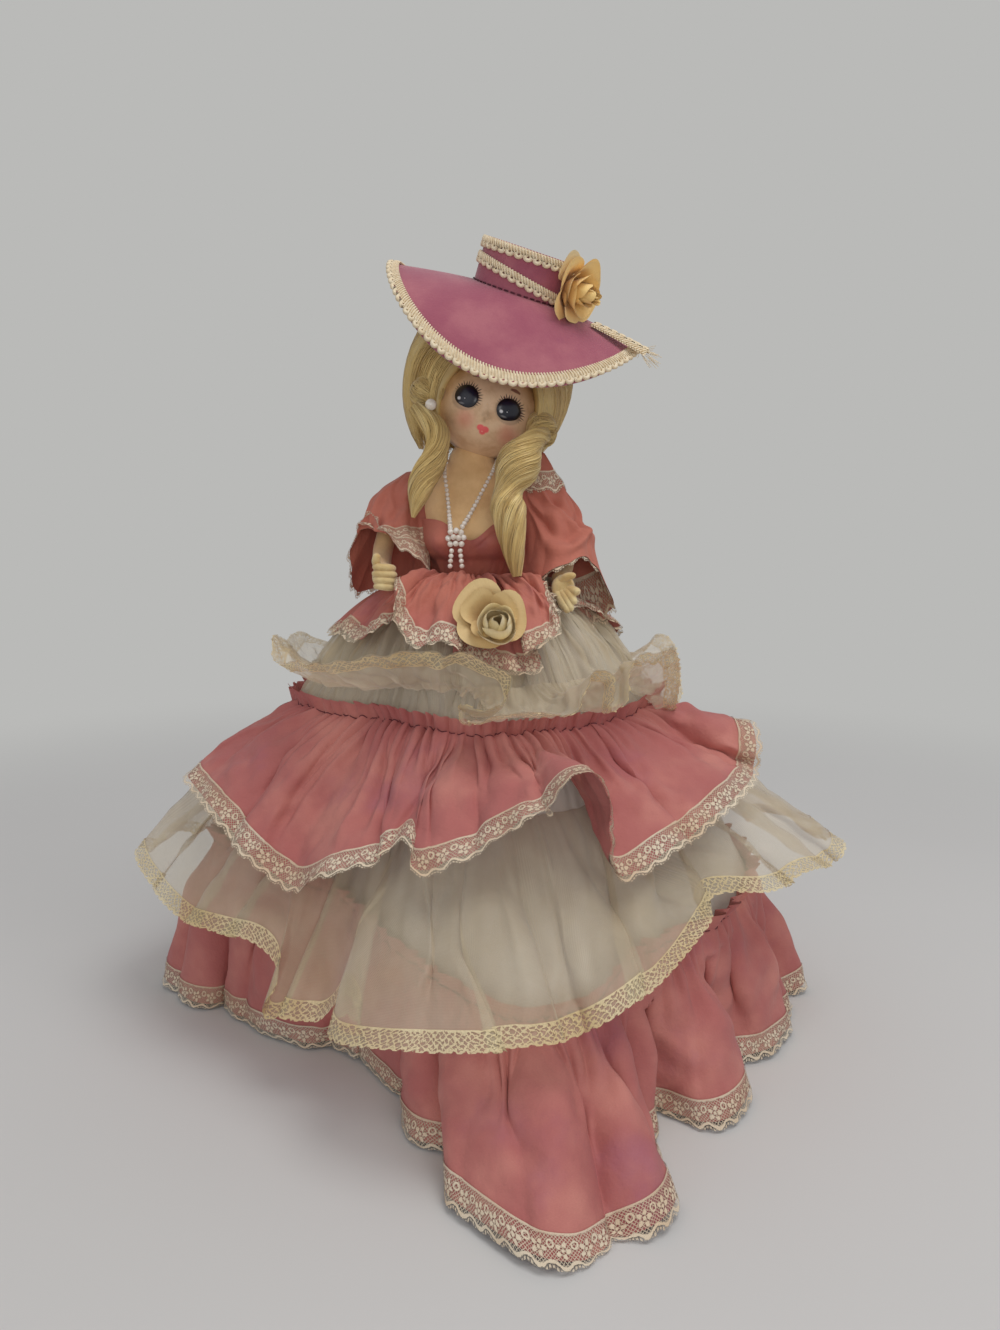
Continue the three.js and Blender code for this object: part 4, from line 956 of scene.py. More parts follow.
# Finishes of the figure, the head and the hat
def skin_cloth(name, colour, dark):
    """Plain woven cloth with a soft nap and uneven ageing."""
    finish = Finish(name, Roughness=0.88, Sheen_Weight=0.35, Sheen_Roughness=0.6)
    finish.set("Base Color", finish.mottle(55, 5, (0.34, 0.74), colour, dark, rough=0.62))
    finish.bump(finish.noise(260, 4) * 0.7 + finish.noise(1600, 2) * 0.3, 0.7, 0.6)
    return finish.material


def felt():
    finish = Finish("mauve_felt", Roughness=0.95, Sheen_Weight=0.45, Sheen_Roughness=0.4)
    mottled = finish.mottle(38, 5, (0.36, 0.7), MAUVE, MAUVE_DUSTY, rough=0.6)
    worn = finish.noise(75, 4).step(0.6, 0.78) * 0.5
    finish.set("Base Color", finish.blend(worn, mottled, MAUVE_WORN))
    finish.bump(finish.noise(900, 4, rough=0.7), 0.35, 0.7)
    return finish.material


def hair():
    """Fine hair: the first texture place is one strand's shade and the second runs along it."""
    finish = Finish("blonde_hair", Roughness=0.42, Sheen_Weight=0.15, Anisotropic=0.5)
    strand, _ = finish.uv()
    fine = finish.noise(60, 2, stretch=(6, 0.08, 1), on_uv=True)
    light = strand * 0.5 + fine * 0.5
    shade = finish.blend(light.step(0.15, 0.6), STRAW_DARK, STRAW)
    patches = finish.noise(45, 3).step(0.4, 0.72)
    finish.set("Base Color", finish.blend(patches * light.step(0.35, 0.9), shade, STRAW_LIGHT))
    finish.bump(fine, 0.5, 0.7)
    return finish.material


def pearl():
    finish = Finish("pearl", Roughness=0.18, Coat_Weight=0.7, Coat_Roughness=0.08, IOR=1.55)
    finish.set("Base Color", finish.mottle(420, 2, (0.3, 0.7), PEARL_LIGHT, PEARL_DARK))
    finish.bump(finish.noise(1500, 2), 0.05, 0.3)
    return finish.material


def satin(name, light, dark):
    """Stiffened ribbon petals: deeper at the foot, worn paler at the rim."""
    finish = Finish(name, Roughness=0.55, Sheen_Weight=0.25)
    _, rise = finish.uv()
    depth = (rise + finish.noise(90, 4) * 0.5 - 0.25).step(0.05, 0.85)
    finish.set("Base Color", finish.blend(depth, dark, light))
    veins = finish.noise(9, 3, stretch=(5, 0.5, 1), on_uv=True)
    finish.bump(veins * 0.7 + finish.noise(300, 3) * 0.3, 0.6, 0.6)
    return finish.material


def spot(x, y, centre, radii):
    """Distance from a centre in units of two radii."""
    return ((x - centre[0]) / radii[0]).length((y - centre[1]) / radii[1])


def face_paint():
    """A pressed mask with painted brows, eye shadow, lips and blush, and painted shade darkening its edge;
    texture places are millimetres.
    """
    finish = Finish("painted_mask", Roughness=0.6, Coat_Weight=0.08)
    x, y = finish.uv()
    colour = finish.mottle(130, 5, (0.38, 0.74), MASK, MASK_AGED, rough=0.65)
    for centre, size in BLUSH:
        colour = finish.blend(spot(x, y, centre, (size, size)).step(1.0, 0.1) * 0.55, colour, ROUGE)
    smudge = spot(x, y, NOSE, (3.2, 3.6)).step(1.2, 0.2) * finish.noise(500, 3).step(0.3, 0.8)
    colour = finish.blend(smudge * 0.5, colour, SMUDGE)
    for side in (-1, 1):
        px = x - side * EYE["across"]
        py = y - EYE["high"]
        out = (px / EYE["width"]).length(py / EYE["height"])
        turn = py.math("ARCTAN2", px)
        streaks = (turn * 34.0).cos() * 0.16 + (turn * 53.0).sin() * 0.1
        upper = (py + px * 0.5).step(-3.0, 3.5)
        lash = (out - streaks * upper).step(1.24, 1.04)
        colour = finish.blend(lash * (upper * 0.6 + 0.3), colour, LASHES)
    for centre, width, tilt in BROWS:
        px = x - centre[0]
        py = y - centre[1] + px * tilt + px * px * 0.05
        brow = (px / width).abs().step(1.0, 0.7) * (py.abs() + px.abs() * 0.15).step(1.1, 0.6)
        colour = finish.blend(brow * 0.85, colour, BROW)
    lip_x, lip_y = x - LIPS[0], y - LIPS[1]
    left_lobe = spot(lip_x, lip_y, (-1.1, 0.4), (1.7, 1.4))
    right_lobe = spot(lip_x, lip_y, (1.1, 0.2), (1.7, 1.4))
    point = spot(lip_x, lip_y, (0.1, -0.9), (1.5, 1.5))
    colour = finish.blend(left_lobe.low(right_lobe).low(point).step(1.25, 0.75), colour, LIP)
    shine = spot(lip_x, lip_y, (0, -1.0), (0.5, 0.4)).step(1.1, 0.5) * 0.6
    colour = finish.blend(shine, colour, LIP_SHINE)
    # Painted shade: the colour turns darker brown towards the mask's edge, as if the gap round it and under
    # the chin lay in shadow
    rim = spot(x, y, (0, 0), (HEAD[0] + MASK_THICKNESS, HEAD[2] + MASK_THICKNESS)).step(0.93, 1.0)
    finish.set("Base Color", finish.blend(rim * 0.8, colour, MASK_EDGE_SHADE))
    finish.bump(finish.noise(240, 4) * 0.6 + finish.noise(1500, 2) * 0.4, 0.35, 0.5)
    return finish.material


def eye_gloss():
    """A dark domed eye with a white gleam painted low on its left; texture places run from -1 to 1."""
    finish = Finish("eye_gloss", Roughness=0.3, Coat_Weight=0.25, Coat_Roughness=0.08)
    x, y = finish.uv()
    out = x.length(y)
    iris = finish.blend(out.step(0.95, 0.55), EYE_RIM, EYE_MIDDLE)
    gleam = spot(x, y, (-0.55, -0.28), (0.16, 0.15)).step(1.2, 0.5) * 0.85
    bright = spot(x, y, (-0.08, -0.18), (0.06, 0.05)).step(1.2, 0.5) * 0.7
    low_light = spot(x, y, (-0.25, -0.62), (0.3, 0.1)).step(1.2, 0.2) * 0.2
    finish.set("Base Color", finish.blend(gleam.high(bright).high(low_light), iris, GLEAM))
    finish.bump(finish.noise(400, 2), 0.05, 0.2)
    return finish.material


def board(name, colour, dark, grain):
    """Plain card, wood or wire under the gown."""
    finish = Finish(name, Roughness=0.85)
    finish.set("Base Color", finish.mottle(60, 5, (0.3, 0.75), colour, dark, stretch=grain))
    finish.bump(finish.noise(700, 3, stretch=grain), 0.2, 0.5)
    return finish.material


SKIN_CLOTH = skin_cloth("skin_cloth", SKIN, SKIN_AGED)
HAND_CLOTH = skin_cloth("hand_cloth", HAND, HAND_AGED)
MAUVE_FELT = felt()
GIMP = thread("gimp_braid", (240, 225, 196), (224, 203, 168))
BLONDE = hair()
PEARL = pearl()
FACE_PAINT = face_paint()
EYE_GLOSS = eye_gloss()
OCHRE_SATIN = satin("ochre_satin", (252, 217, 142), (222, 166, 86))
IVORY_SATIN = satin("ivory_satin", (250, 234, 190), (222, 184, 120))
AGED_SATIN = satin("aged_satin", (222, 192, 136), (160, 118, 64))
DARK_THREAD = thread("dark_thread", (92, 38, 54), (60, 24, 36))
CARD = board("card", (196, 172, 134), (170, 144, 106), (1, 1, 1))
DOWEL_WOOD = board("dowel_wood", (198, 152, 96), (160, 112, 62), (6, 6, 0.4))
WIRE = board("wire", (150, 146, 138), (104, 100, 94), (1, 1, 3))
WIRE.node_tree.nodes["Principled BSDF"].inputs["Metallic"].default_value = 0.9

# Stand and wires that keep their solids
for node, finish in [
    ("base_disc", CARD), ("skirt_cone", CARD), ("spine_dowel", DOWEL_WOOD), ("neck_wire", WIRE),
    ("left_shoulder_pin", WIRE), ("right_shoulder_pin", WIRE),
]:
    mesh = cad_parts[node].data
    mesh.materials.clear()
    mesh.materials.append(finish)

# Figure
FIGURE_CURVE = spline(FIGURE, 160)


def figure_point(z, turn, grow=0.0, cup=0.0):
    """A point of the stuffed figure; turn is in degrees from the front and grow moves it outwards."""
    width, depth, centre = (np.interp(z, FIGURE_CURVE[:, 0], FIGURE_CURVE[:, i]) for i in (1, 2, 3))
    side = np.abs(signed(turn))
    swell = hill(z - BUST["z"], BUST["height"]) * hill(side - BUST["turn"], BUST["width"])
    bust = (BUST["depth"] + cup) * swell
    x = (width + grow) * np.sin(np.radians(turn))
    y = centre - (depth + grow + bust) * np.cos(np.radians(turn))
    return stacked(x, y, z)


FIGURE_TURNS = np.linspace(0, 360, 144, endpoint=False)


def figure():
    heights = np.linspace(FIGURE[0][0], FIGURE[-1][0], 56)[:, None]
    body = figure_point(heights, FIGURE_TURNS)
    neck = [np.array([lean, 0, rise]) + (body[-1] * [share, share, 1]) for rise, share, lean in NECK_TOP]
    points = np.concatenate([body, np.stack(neck)])
    torso = piece("torso_stuffed", [wrapped(points)], SKIN_CLOTH, replaces=["torso"])

    side = np.abs(signed(FIGURE_TURNS))
    top = mix(BODICE["side"], BODICE["front"], hill(side, 20))
    share = np.linspace(0, 1, 40)[:, None]
    z = mix(BODICE["low"], top, share)
    ease = mix(SEAT, BODICE["ease"], smooth(share * 4))
    right = smooth((FIGURE_TURNS - 2) / 10) * smooth((60 - FIGURE_TURNS) / 15)
    groove = 1.3 * hill(top - z - 4.5, 1.1) * right
    slanted = np.radians(FIGURE_TURNS * BODICE["creases"]) + 0.25 * (z - 228)
    creases = np.cos(slanted) * hill(z - 226, 9) * smooth(share * 5)
    tucks = np.cos(np.radians(FIGURE_TURNS * BODICE["tucks"])) * hill(z - 222, 5) * 0.5 * smooth(share * 5)
    under = smooth((BODICE["cups"] - z) / 4)
    cups = 2.5 * hill(z - BUST["z"] + 3, 6) * hill(side - BUST["turn"], 26)
    grow = mix(ease + cups, SEAT, under) + 0.7 * creases + tucks - groove
    points = figure_point(z, FIGURE_TURNS, np.maximum(grow, 0.4), mix(BUST["cup"], 0, under))
    cloth = piece("bodice_cloth", [wrapped(points)], PINK_COTTON, replaces=["bodice"])
    flat_size(points)


def limb(path, radii, count=40, sides=20):
    """A tube of changing radius along a smooth path, as a wrapped grid with rounded ends."""
    line = spline(path, count)
    along = unit(np.gradient(line, axis=0))
    across = unit(np.cross(along, [0.31, 0.2, 0.9]))
    upward = np.cross(along, across)
    size = np.interp(np.linspace(0, 1, count), np.linspace(0, 1, len(radii)), radii)
    ends = np.minimum(np.arange(count), np.arange(count)[::-1]) / 3
    size = size * np.sqrt(1 - np.clip(1 - ends, 0, 0.999) ** 2)
    turn = np.linspace(0, 2 * np.pi, sides, endpoint=False)
    away = across[:, None] * np.cos(turn)[:, None] + upward[:, None] * np.sin(turn)[:, None]
    return wrapped(line[:, None] + size[:, None, None] * away)


def arm_path(side):
    reach = np.array(RIGHT_REACH if side > 0 else (1, 1, 1))
    offsets = np.array(ARM_PATH) * reach
    return np.array(SHOULDER) * [side, 1, 1] + offsets * [-side, 1, 1]


def fist(wrist):
    """A stuffed fist: four curled fingers one above the other, a palm behind them and a thumb on top."""
    centre = wrist + np.array([0.5, -9.0, -1.5])
    parts = [ball(centre + [0, 3.5, 0], (5.6, 6.5, 6.2), 20, 14)]
    for i in range(4):
        z = 4.4 - 2.9 * i
        reach = 5.8 - 0.5 * abs(i - 1)
        finger = [[reach, 1.0, z - 0.6], [reach * 0.55, -3.5, z], [-reach * 0.35, -3.8, z + 0.4],
                  [-reach * 0.8, -1.4, z]]
        parts.append(limb(centre + np.array(finger), [1.5, 1.85, 1.75, 1.2], 20, 12))
    thumb = [[-2.5, 0.5, 4.5], [-2.8, -2.6, 7.5], [-2.0, -3.4, 11.0]]
    parts.append(limb(centre + np.array(thumb), [2.0, 2.1, 1.7], 16, 12))
    return parts


def open_hand(wrist):
    """A flat stuffed hand: fingers side by side like a leaf, and a thumb."""
    parts = [ball(wrist + np.array([2.0, -6.0, -3.0]), (5.4, 4.0, 6.0), 20, 14)]
    for i in range(4):
        spread = i - 1.5
        tip = [6.5 + 1.5 * spread, -14.5, -13.0 + 2.6 * abs(spread) + 3.2 * spread]
        finger = [[0.5 + spread, -5.0, -3.0], [4.0 + 1.5 * spread, -11.0, -7.0 + 1.8 * spread], tip]
        parts.append(limb(wrist + np.array(finger), [2.5, 2.4, 1.5], 20, 12))
    thumb = [[0.0, -6.0, -1.0], [3.5, -9.5, 2.0], [7.5, -11.5, 3.0]]
    parts.append(limb(wrist + np.array(thumb), [2.2, 2.0, 1.3], 16, 12))
    return parts


def sleeve_surface(name, at, lift=0.0):
    """Rows of a puffed sleeve; at counts its rings down from the cap, with the mouth at 3."""
    shape = SLEEVES[name]
    turns = shape["start"] + 360 * np.arange(SLEEVE_COLUMNS) / SLEEVE_COLUMNS
    circle = around(turns, 1.0, 0.0)
    rings = [np.array(centre) + circle * [*half_sizes, 0] for centre, half_sizes in shape["rings"]]
    mouth = ring(shape["mouth"], SLEEVE_COLUMNS)
    rings = np.stack([*rings, mouth, mouth + unit(mouth - rings[-1]) * 5])
    rows = spline(rings.reshape(len(rings), -1), SLEEVE_ROWS).reshape(SLEEVE_ROWS, -1, 3)
    places = np.linspace(0, len(rings) - 1, SLEEVE_ROWS)[:, None]
    push, _ = ridges(places / 3, SLEEVE_FOLDS, SLEEVE_SEED[name], SLEEVE_COLUMNS)
    for turn, span, lowest, rise, depth in shape["swags"]:
        across = signed(turns - turn) / span
        below = places - lowest + rise * across ** 2
        push += depth * hill(across, 1.2) * (hill(below, 0.16) - 0.9 * hill(below + 0.33, 0.17))
    rows = rows + right_side(rows) * (push + lift)[..., None]
    place = np.clip(np.asarray(at) / places[1, 0], 0, SLEEVE_ROWS - 1.001)
    low = place.astype(int)
    return mix(rows[low], rows[low + 1], (place - low)[:, None, None])


def arms():
    for name, side in SIDES.items():
        body = f"arm_{name}"
        path = arm_path(side)
        hand = open_hand(path[-1]) if side > 0 else fist(path[-1])
        for kind, parts, finish in [("arm", [limb(path, ARM_RADII)], SKIN_CLOTH), ("hand", hand, HAND_CLOTH)]:
            stuffed = piece(f"{name}_{kind}_stuffed", parts, finish, body, [f"{name}_{kind}"])

        points = sleeve_surface(name, np.linspace(0, 3, 60))
        centre = points[0].mean(0)
        cap = [mix(points[0], centre, share) + [0, 0, rise] for share, rise in SLEEVE_CAP]
        points = np.concatenate([np.stack(cap), points])
        cloth = piece(f"{name}_sleeve_cloth", [wrapped(points)], PINK_COTTON, None, [f"{name}_sleeve"])
        trims = []
        for trim, (first, last) in [("sleeve_band", SLEEVE_BAND[name]), ("cuff_lace", CUFF[name])]:
            inside = trim == "cuff_lace" and name == "right"
            strip = sleeve_surface(name, np.linspace(first, last, 12), -LACE_LIFT if inside else LACE_LIFT)
            uv = flat_uv(strip)
            uv[..., 1] *= LACE_WIDTH / uv[-1, :, 1].mean()
            lace = grid(strip, uv, wrap=True)
            trims.append(piece(f"{name}_{trim}_edging", [lace], HEM_LACE, None, [f"{name}_{trim}"]))
        for obj in [cloth, *trims]:
            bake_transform(obj)
        flat_size(points)


# Frames of the head and the hat
def in_head(points):
    lean = math.radians(HEAD_LEAN)
    x, y, z = np.moveaxis(np.asarray(points, float), -1, 0)
    across = x * math.cos(lean) + z * math.sin(lean)
    return stacked(across, y, z * math.cos(lean) - x * math.sin(lean) + NECK_Z)


def in_hat(points):
    pitch = math.radians(HAT_PITCH)
    x, y, z = np.moveaxis(np.asarray(points, float), -1, 0)
    back = y * math.cos(pitch) - z * math.sin(pitch)
    return in_head(stacked(x, back, y * math.sin(pitch) + z * math.cos(pitch)) + HAT_AT)


# Head
def front_uv(x, z):
    """Texture places for a wrapped grid as it is seen from the front."""
    return closed(stacked(x, z))


def head():
    core = ball((0, 0, HEAD_UP), HEAD, 40, 28)
    piece("head_stuffed", [core], SKIN_CLOTH, "head", ["head_core"], in_head)

    turn = np.linspace(0, 2 * np.pi, 120, endpoint=False)
    open_angle = np.linspace(0.01, math.radians(MASK_REACH), 60)[:, None]
    radii = np.array(HEAD) + MASK_THICKNESS
    x = radii[0] * np.sin(open_angle) * np.cos(turn)
    z = radii[2] * np.sin(open_angle) * np.sin(turn)
    y = -radii[1] * np.cos(open_angle)
    for (hill_x, hill_z), width, height in MASK_HILLS:
        y = y - height * hill(np.hypot(x - hill_x, z - hill_z), width)
    jaw = 1 + 0.05 * hill(z + 9, 9)
    mask = grid(stacked(x * jaw, y, z + HEAD_UP), front_uv(x, z), wrap=True)
    piece("face_mask_painted", [mask], FACE_PAINT, "head", ["face_mask"], in_head)

    share = np.linspace(0.02, 1, 16)[:, None]
    across = share * np.cos(turn)
    upward = share * np.sin(turn)
    for name, side in SIDES.items():
        x = side * EYE["across"] + EYE["width"] * across
        z = EYE["high"] + EYE["height"] * upward
        base = radii[1] * np.sqrt(1 - (x / radii[0]) ** 2 - (z / radii[2]) ** 2)
        y = -base - 0.2 - EYE["dome"] * np.sqrt(1.001 - share ** 2)
        eye = grid(stacked(x, y, z + HEAD_UP), front_uv(across, upward), wrap=True)
        piece(f"{name}_eye_glossy", [eye], EYE_GLOSS, "head", [f"{name}_eye"], in_head)


# Hair
def lock(path, radii, strands, twist, seed, steps=34):
    """A lock of hair: fine strands wound round a swelling and tapering core. twist is in turns."""
    chance = np.random.default_rng(seed)
    line = spline(path, steps)
    along = unit(np.gradient(line, axis=0))
    across = unit(np.cross(along, [0.25, 0.93, 0.1]))
    upward = np.cross(along, across)
    t = np.linspace(0, 1, steps)
    size = spline(np.array(radii, float)[:, None], steps)[:, 0]
    points, faces, places = limb(path, np.array(radii) * 0.95, steps, 24)
    starts = np.sort(chance.uniform(0, 2 * np.pi, strands))[:, None]
    wisps = 0.5 * np.sin(5 * starts + 9 * t) + 0.35 * np.sin(11 * starts - 6 * t)
    wander = chance.normal(0, 0.16, (strands, 1)) * np.sin(np.pi * t + chance.uniform(0, 6, (strands, 1)))
    angle = starts + 2 * np.pi * twist * t + wander
    depth = (chance.uniform(0.93, 1.03, (strands, 1)) + 0.05 * wisps) * size
    lines = line + depth[..., None] * (np.cos(angle)[..., None] * across + np.sin(angle)[..., None] * upward)
    taper = np.minimum(1, 5 * np.minimum(t, 1 - t) + 0.25) * chance.uniform(0.7, 1.2, (strands, 1))
    shades = 0.5 + 0.3 * np.sin(7 * starts[:, 0]) + chance.uniform(-0.2, 0.2, strands)
    return [(points, faces, places * CORE_GRAIN), tubes(lines, HAIR_RADIUS * taper, 3, shades)]


def wig_point(share, z):
    """A point of the wig's outside: share runs from the right edge of the face round the back to the left."""
    (cx, cy, cz), (rx, ry, rz) = WIG["centre"], WIG["radii"]
    belt = np.sqrt(np.maximum(1 - ((z - cz) / rz) ** 2, 0.02))
    opening = FACE_OPENING[0] * np.sqrt(np.maximum(1 - ((z - HEAD_UP) / FACE_OPENING[1]) ** 2, 0.0))
    opening = np.where(z < HEAD_UP, np.maximum(opening, FACE_OPENING[2]), opening)
    right = np.arcsin(np.clip((opening - cx) / (rx * belt), -1, 1))
    left = 2 * np.pi + np.arcsin(np.clip((-opening - cx) / (rx * belt), -1, 1))
    turn = mix(right, left, share)
    return stacked(cx + rx * belt * np.sin(turn), cy - ry * belt * np.cos(turn), z)


def wig():
    chance = np.random.default_rng(WIG["seed"])
    centre = np.array(WIG["centre"])
    share = np.linspace(0, 1, 300)
    points = wig_point(share, np.linspace(WIG["top"], WIG["low"], 40)[:, None])
    waves = np.interp(share, np.linspace(0, 1, 150), chance.uniform(-1, 1, 150))
    points = points + unit(points - centre) * (0.5 * waves)[:, None]
    turned_in = points * [0.86, 1, 1] + [0, 16, 0]
    points = np.concatenate([turned_in[:, :1], points, turned_in[:, -1:]], axis=1)
    cap = grid(points, stacked(np.linspace(0, 1.6, points.shape[1]), np.linspace(0, 1, 40)[:, None]))

    strands = WIG["strands"]
    at = chance.uniform(0, 1, (strands, 1))
    near_face = np.round(at) + (0.5 - np.round(at)) * at * 0.4
    at = np.where(chance.uniform(0, 1, (strands, 1)) < 0.5, at, near_face)
    t = np.linspace(0, 1, 16)
    low = WIG["low"] - 3 + chance.uniform(-4, 5, (strands, 1))
    heights = mix(WIG["top"] - 6 + chance.uniform(-4, 4, (strands, 1)), low, t)
    drift = chance.normal(0, 0.008, (strands, 1)) * t + 0.004 * np.sin(3 * np.pi * t + 7 * at)
    lines = wig_point(np.clip(at + drift, 0, 1), np.clip(heights, WIG["low"] - 6, WIG["top"] + 2))
    lines = lines + unit(lines - centre) * chance.uniform(0.1, 0.9, (strands, 1))[..., None]
    shades = 0.5 + 0.3 * np.sin(60 * at[:, 0]) + chance.uniform(-0.2, 0.2, strands)
    threads = tubes(lines, HAIR_RADIUS * np.minimum(1, 4 * (1 - t) + 0.3), 3, shades)
    piece("wig_hair", [cap, threads], BLONDE, "head", ["wig"], in_head)


def rolls():
    """A roll of hair over each ear, and the earring below it."""
    for name, side in SIDES.items():
        across = ROLL["across"] * ROLL_SQUEEZE[name]
        centre = np.array([side * across, ROLL["forward"], ROLL["high"]])
        inward = np.array([-side, -0.35, -0.75]) / 1.3
        reach = np.array([[1.0], [0.75], [0.3], [-0.3], [-0.75], [-1.0]]) * 7.4
        radii = np.array([0.16, 0.62, 0.98, 1.0, 0.68, 0.16]) * ROLL["radius"]
        parts = lock(centre + reach * inward, radii, ROLL["strands"], 0.12 * side, 31 + side, 26)
        piece(f"{name}_roll_hair", parts, BLONDE, "head", [f"{name}_hair_roll"], in_head)
        ear = [side * (across - 4.5), ROLL["forward"] - 11, ROLL["high"] - ROLL["half_height"] + 1]
        bead = ball(ear, (EARRING_RADIUS,) * 3, 20, 14)
        piece(f"{name}_earring_pearl", [bead], PEARL, "head", [f"{name}_earring"], in_head)


def ringlets():
    for name, shape in RINGLETS.items():
        obj = piece(f"{name}_ringlet_hair", lock(**shape), BLONDE, None, [f"{name}_ringlet"])
        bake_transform(obj)


# Hat
def brim_point(turn, share, lift):
    """A point of the brim: share runs from the crown at 0 to the edge at 1."""
    ahead = np.cos(turn)
    facing = np.abs(ahead) ** 1.5
    reach = mix(BRIM_REACH["side"], np.where(ahead > 0, BRIM_REACH["front"], BRIM_REACH["back"]), facing)
    drop = mix(BRIM_DROP["side"], np.where(ahead > 0, BRIM_DROP["front"], BRIM_DROP["back"]), facing)
    radius = CROWN_RADIUS + 0.3 + reach * share
    return stacked(radius * np.sin(turn), -radius * ahead, lift - drop * share ** 1.25)


def braid(inner, outer, upward):
    """Gimp braid between two lines: a flat base, slanted stitches on it and fat loops at the outer line."""
    base = np.stack([mix(inner, outer, t) + upward * lift for t, lift in BRAID_BASE])
    length = row_lengths(outer[None])[0]
    parts = [grid(base, stacked(length, np.linspace(0, 1, len(base))[:, None]))]
    count = max(4, round(length[-1] / BRAID_PITCH))

    def lines(starts, run, reach):
        at = np.clip(starts[:, None] + reach * BRAID_PITCH * run, 0, length[-1])
        return (along_line(line, length, at) for line in (inner, outer, upward))

    slant = np.linspace(0, 1, 5)
    near, far, lift = lines(np.arange(count * 3) / (count * 3) * length[-1], slant, 0.4)
    arch = 0.6 + 0.4 * np.sin(np.pi * slant)
    stitches = mix(near, far, mix(0.06, 0.84, slant)[:, None]) + lift * arch[:, None]
    parts.append(tubes(stitches, 0.42, 5))

    bend = np.linspace(-1, 1, 9)
    near, far, lift = lines((np.arange(count) + 0.5) * length[-1] / count, bend, 0.36)
    reach, thick = BRAID_LOOP
    out = unit(far - near) * (reach * np.sqrt(1 - bend ** 2))[..., None]
    parts.append(tubes(mix(near, far, 0.8) + out + lift * 0.5, thick, 6))
    return parts


def hat():
    turn = np.linspace(-np.pi, np.pi, 240, endpoint=False)
    share = np.linspace(0, 1, 30)[:, None]
    sag = 0.5 * np.sin(5 * turn + 1) * share ** 2
    top = brim_point(turn, share, sag)
    under = brim_point(turn, share[::-1], sag[::-1] - BRIM_THICKNESS)
    rim = brim_point(turn, 1.008, sag[-1:] - BRIM_THICKNESS / 2)
    brim = wrapped(np.concatenate([top, rim, under]))
    piece("hat_brim_felt", [brim], MAUVE_FELT, "head", ["hat_brim"], in_hat)

    profile = spline([
        (CROWN_RADIUS, -BRIM_THICKNESS), (CROWN_RADIUS, CROWN_HEIGHT * 0.5), (CROWN_RADIUS, CROWN_HEIGHT - 1),
        (CROWN_RADIUS - 0.8, CROWN_HEIGHT), (CROWN_RADIUS * 0.9, CROWN_HEIGHT),
        (CROWN_RADIUS * 0.5, CROWN_HEIGHT - 0.3), (0.02, CROWN_HEIGHT - 0.5),
    ], 44)
    profile[:, 0] = np.clip(profile[:, 0], 0.02, CROWN_RADIUS)
    profile[:, 1] = np.minimum(profile[:, 1], CROWN_HEIGHT)
    crown = wrapped(around(np.degrees(turn), profile[:, :1], profile[:, 1:]))
    piece("hat_crown_felt", [crown], MAUVE_FELT, "head", ["hat_crown"], in_hat)

    line = np.linspace(-np.pi, np.pi, 900)
    inner = brim_point(line, 1 - BRAID_WIDTH / BRIM_REACH["side"], 0.4)
    outer = brim_point(line, 1.02, 0.0)
    parts = braid(in_hat(inner), in_hat(outer), in_hat(inner + [0, 0, 1]) - in_hat(inner))
    piece("brim_braid_gimp", parts, GIMP, "head", ["brim_braid"])

    for node, fall, tilt in [("crown_top_braid", 0, 0.0), ("crown_band_braid", 11, 4.2)]:
        upper = around(np.degrees(line), CROWN_RADIUS + 0.3, CROWN_HEIGHT - fall - tilt * np.sin(line))
        lower = upper - [0, 0, BRAID_WIDTH]
        away = unit(upper * [1, 1, 0])
        parts = braid(in_hat(upper), in_hat(lower), in_hat(upper + away) - in_hat(upper))
        piece(f"{node}_gimp", parts, GIMP, "head", [node])

    starts = np.linspace(0, 2 * np.pi, 46, endpoint=False)[:, None]
    stitches = around(np.degrees(starts + np.linspace(0, 0.09, 5)), CROWN_RADIUS + 0.55, 0.5)
    piece("crown_seam_stitches", [tubes(stitches, 0.3, 4)], DARK_THREAD, "head", place=in_hat)


# Roses of folded petals round an axis
def petal(turn, span, reach, rise, curl, seed):
    chance = np.random.default_rng(seed)
    u = np.linspace(-1, 1, 17)[None, :]
    v = np.linspace(0, 1, 14)[:, None]
    height = v * (1 - 0.3 * np.abs(u) ** 2.6)
    wave = 0.05 * np.sin(u * 5 + chance.uniform(0, 6)) * v
    azimuth = turn + span * u * (0.45 + 0.55 * np.sin(np.pi * (0.1 + 0.55 * v)))
    radius = reach * (0.16 + 0.84 * height ** 0.75 + wave) + curl * smooth((height - 0.6) / 0.4)
    z = rise * height ** 1.1 - 0.5 * curl * smooth((height - 0.7) / 0.3)
    return grid(around(azimuth, np.maximum(radius, 0.2), z), stacked(u * 0.5 + 0.5, v))


def rose(radius, height, layers, seed):
    """Petals in layers round the axis z."""
    chance = np.random.default_rng(seed)
    parts = []
    for count, reach, rise, span, curl in layers:
        start = chance.uniform(0, 360)
        for i in range(count):
            turn = start + 360 * i / count + chance.uniform(-9, 9)
            size = radius * reach * chance.uniform(0.9, 1.08)
            lift = height * rise * chance.uniform(0.92, 1.06)
            parts.append(petal(turn, span, size, lift, curl * radius, int(chance.integers(1000))))
    return join(parts)


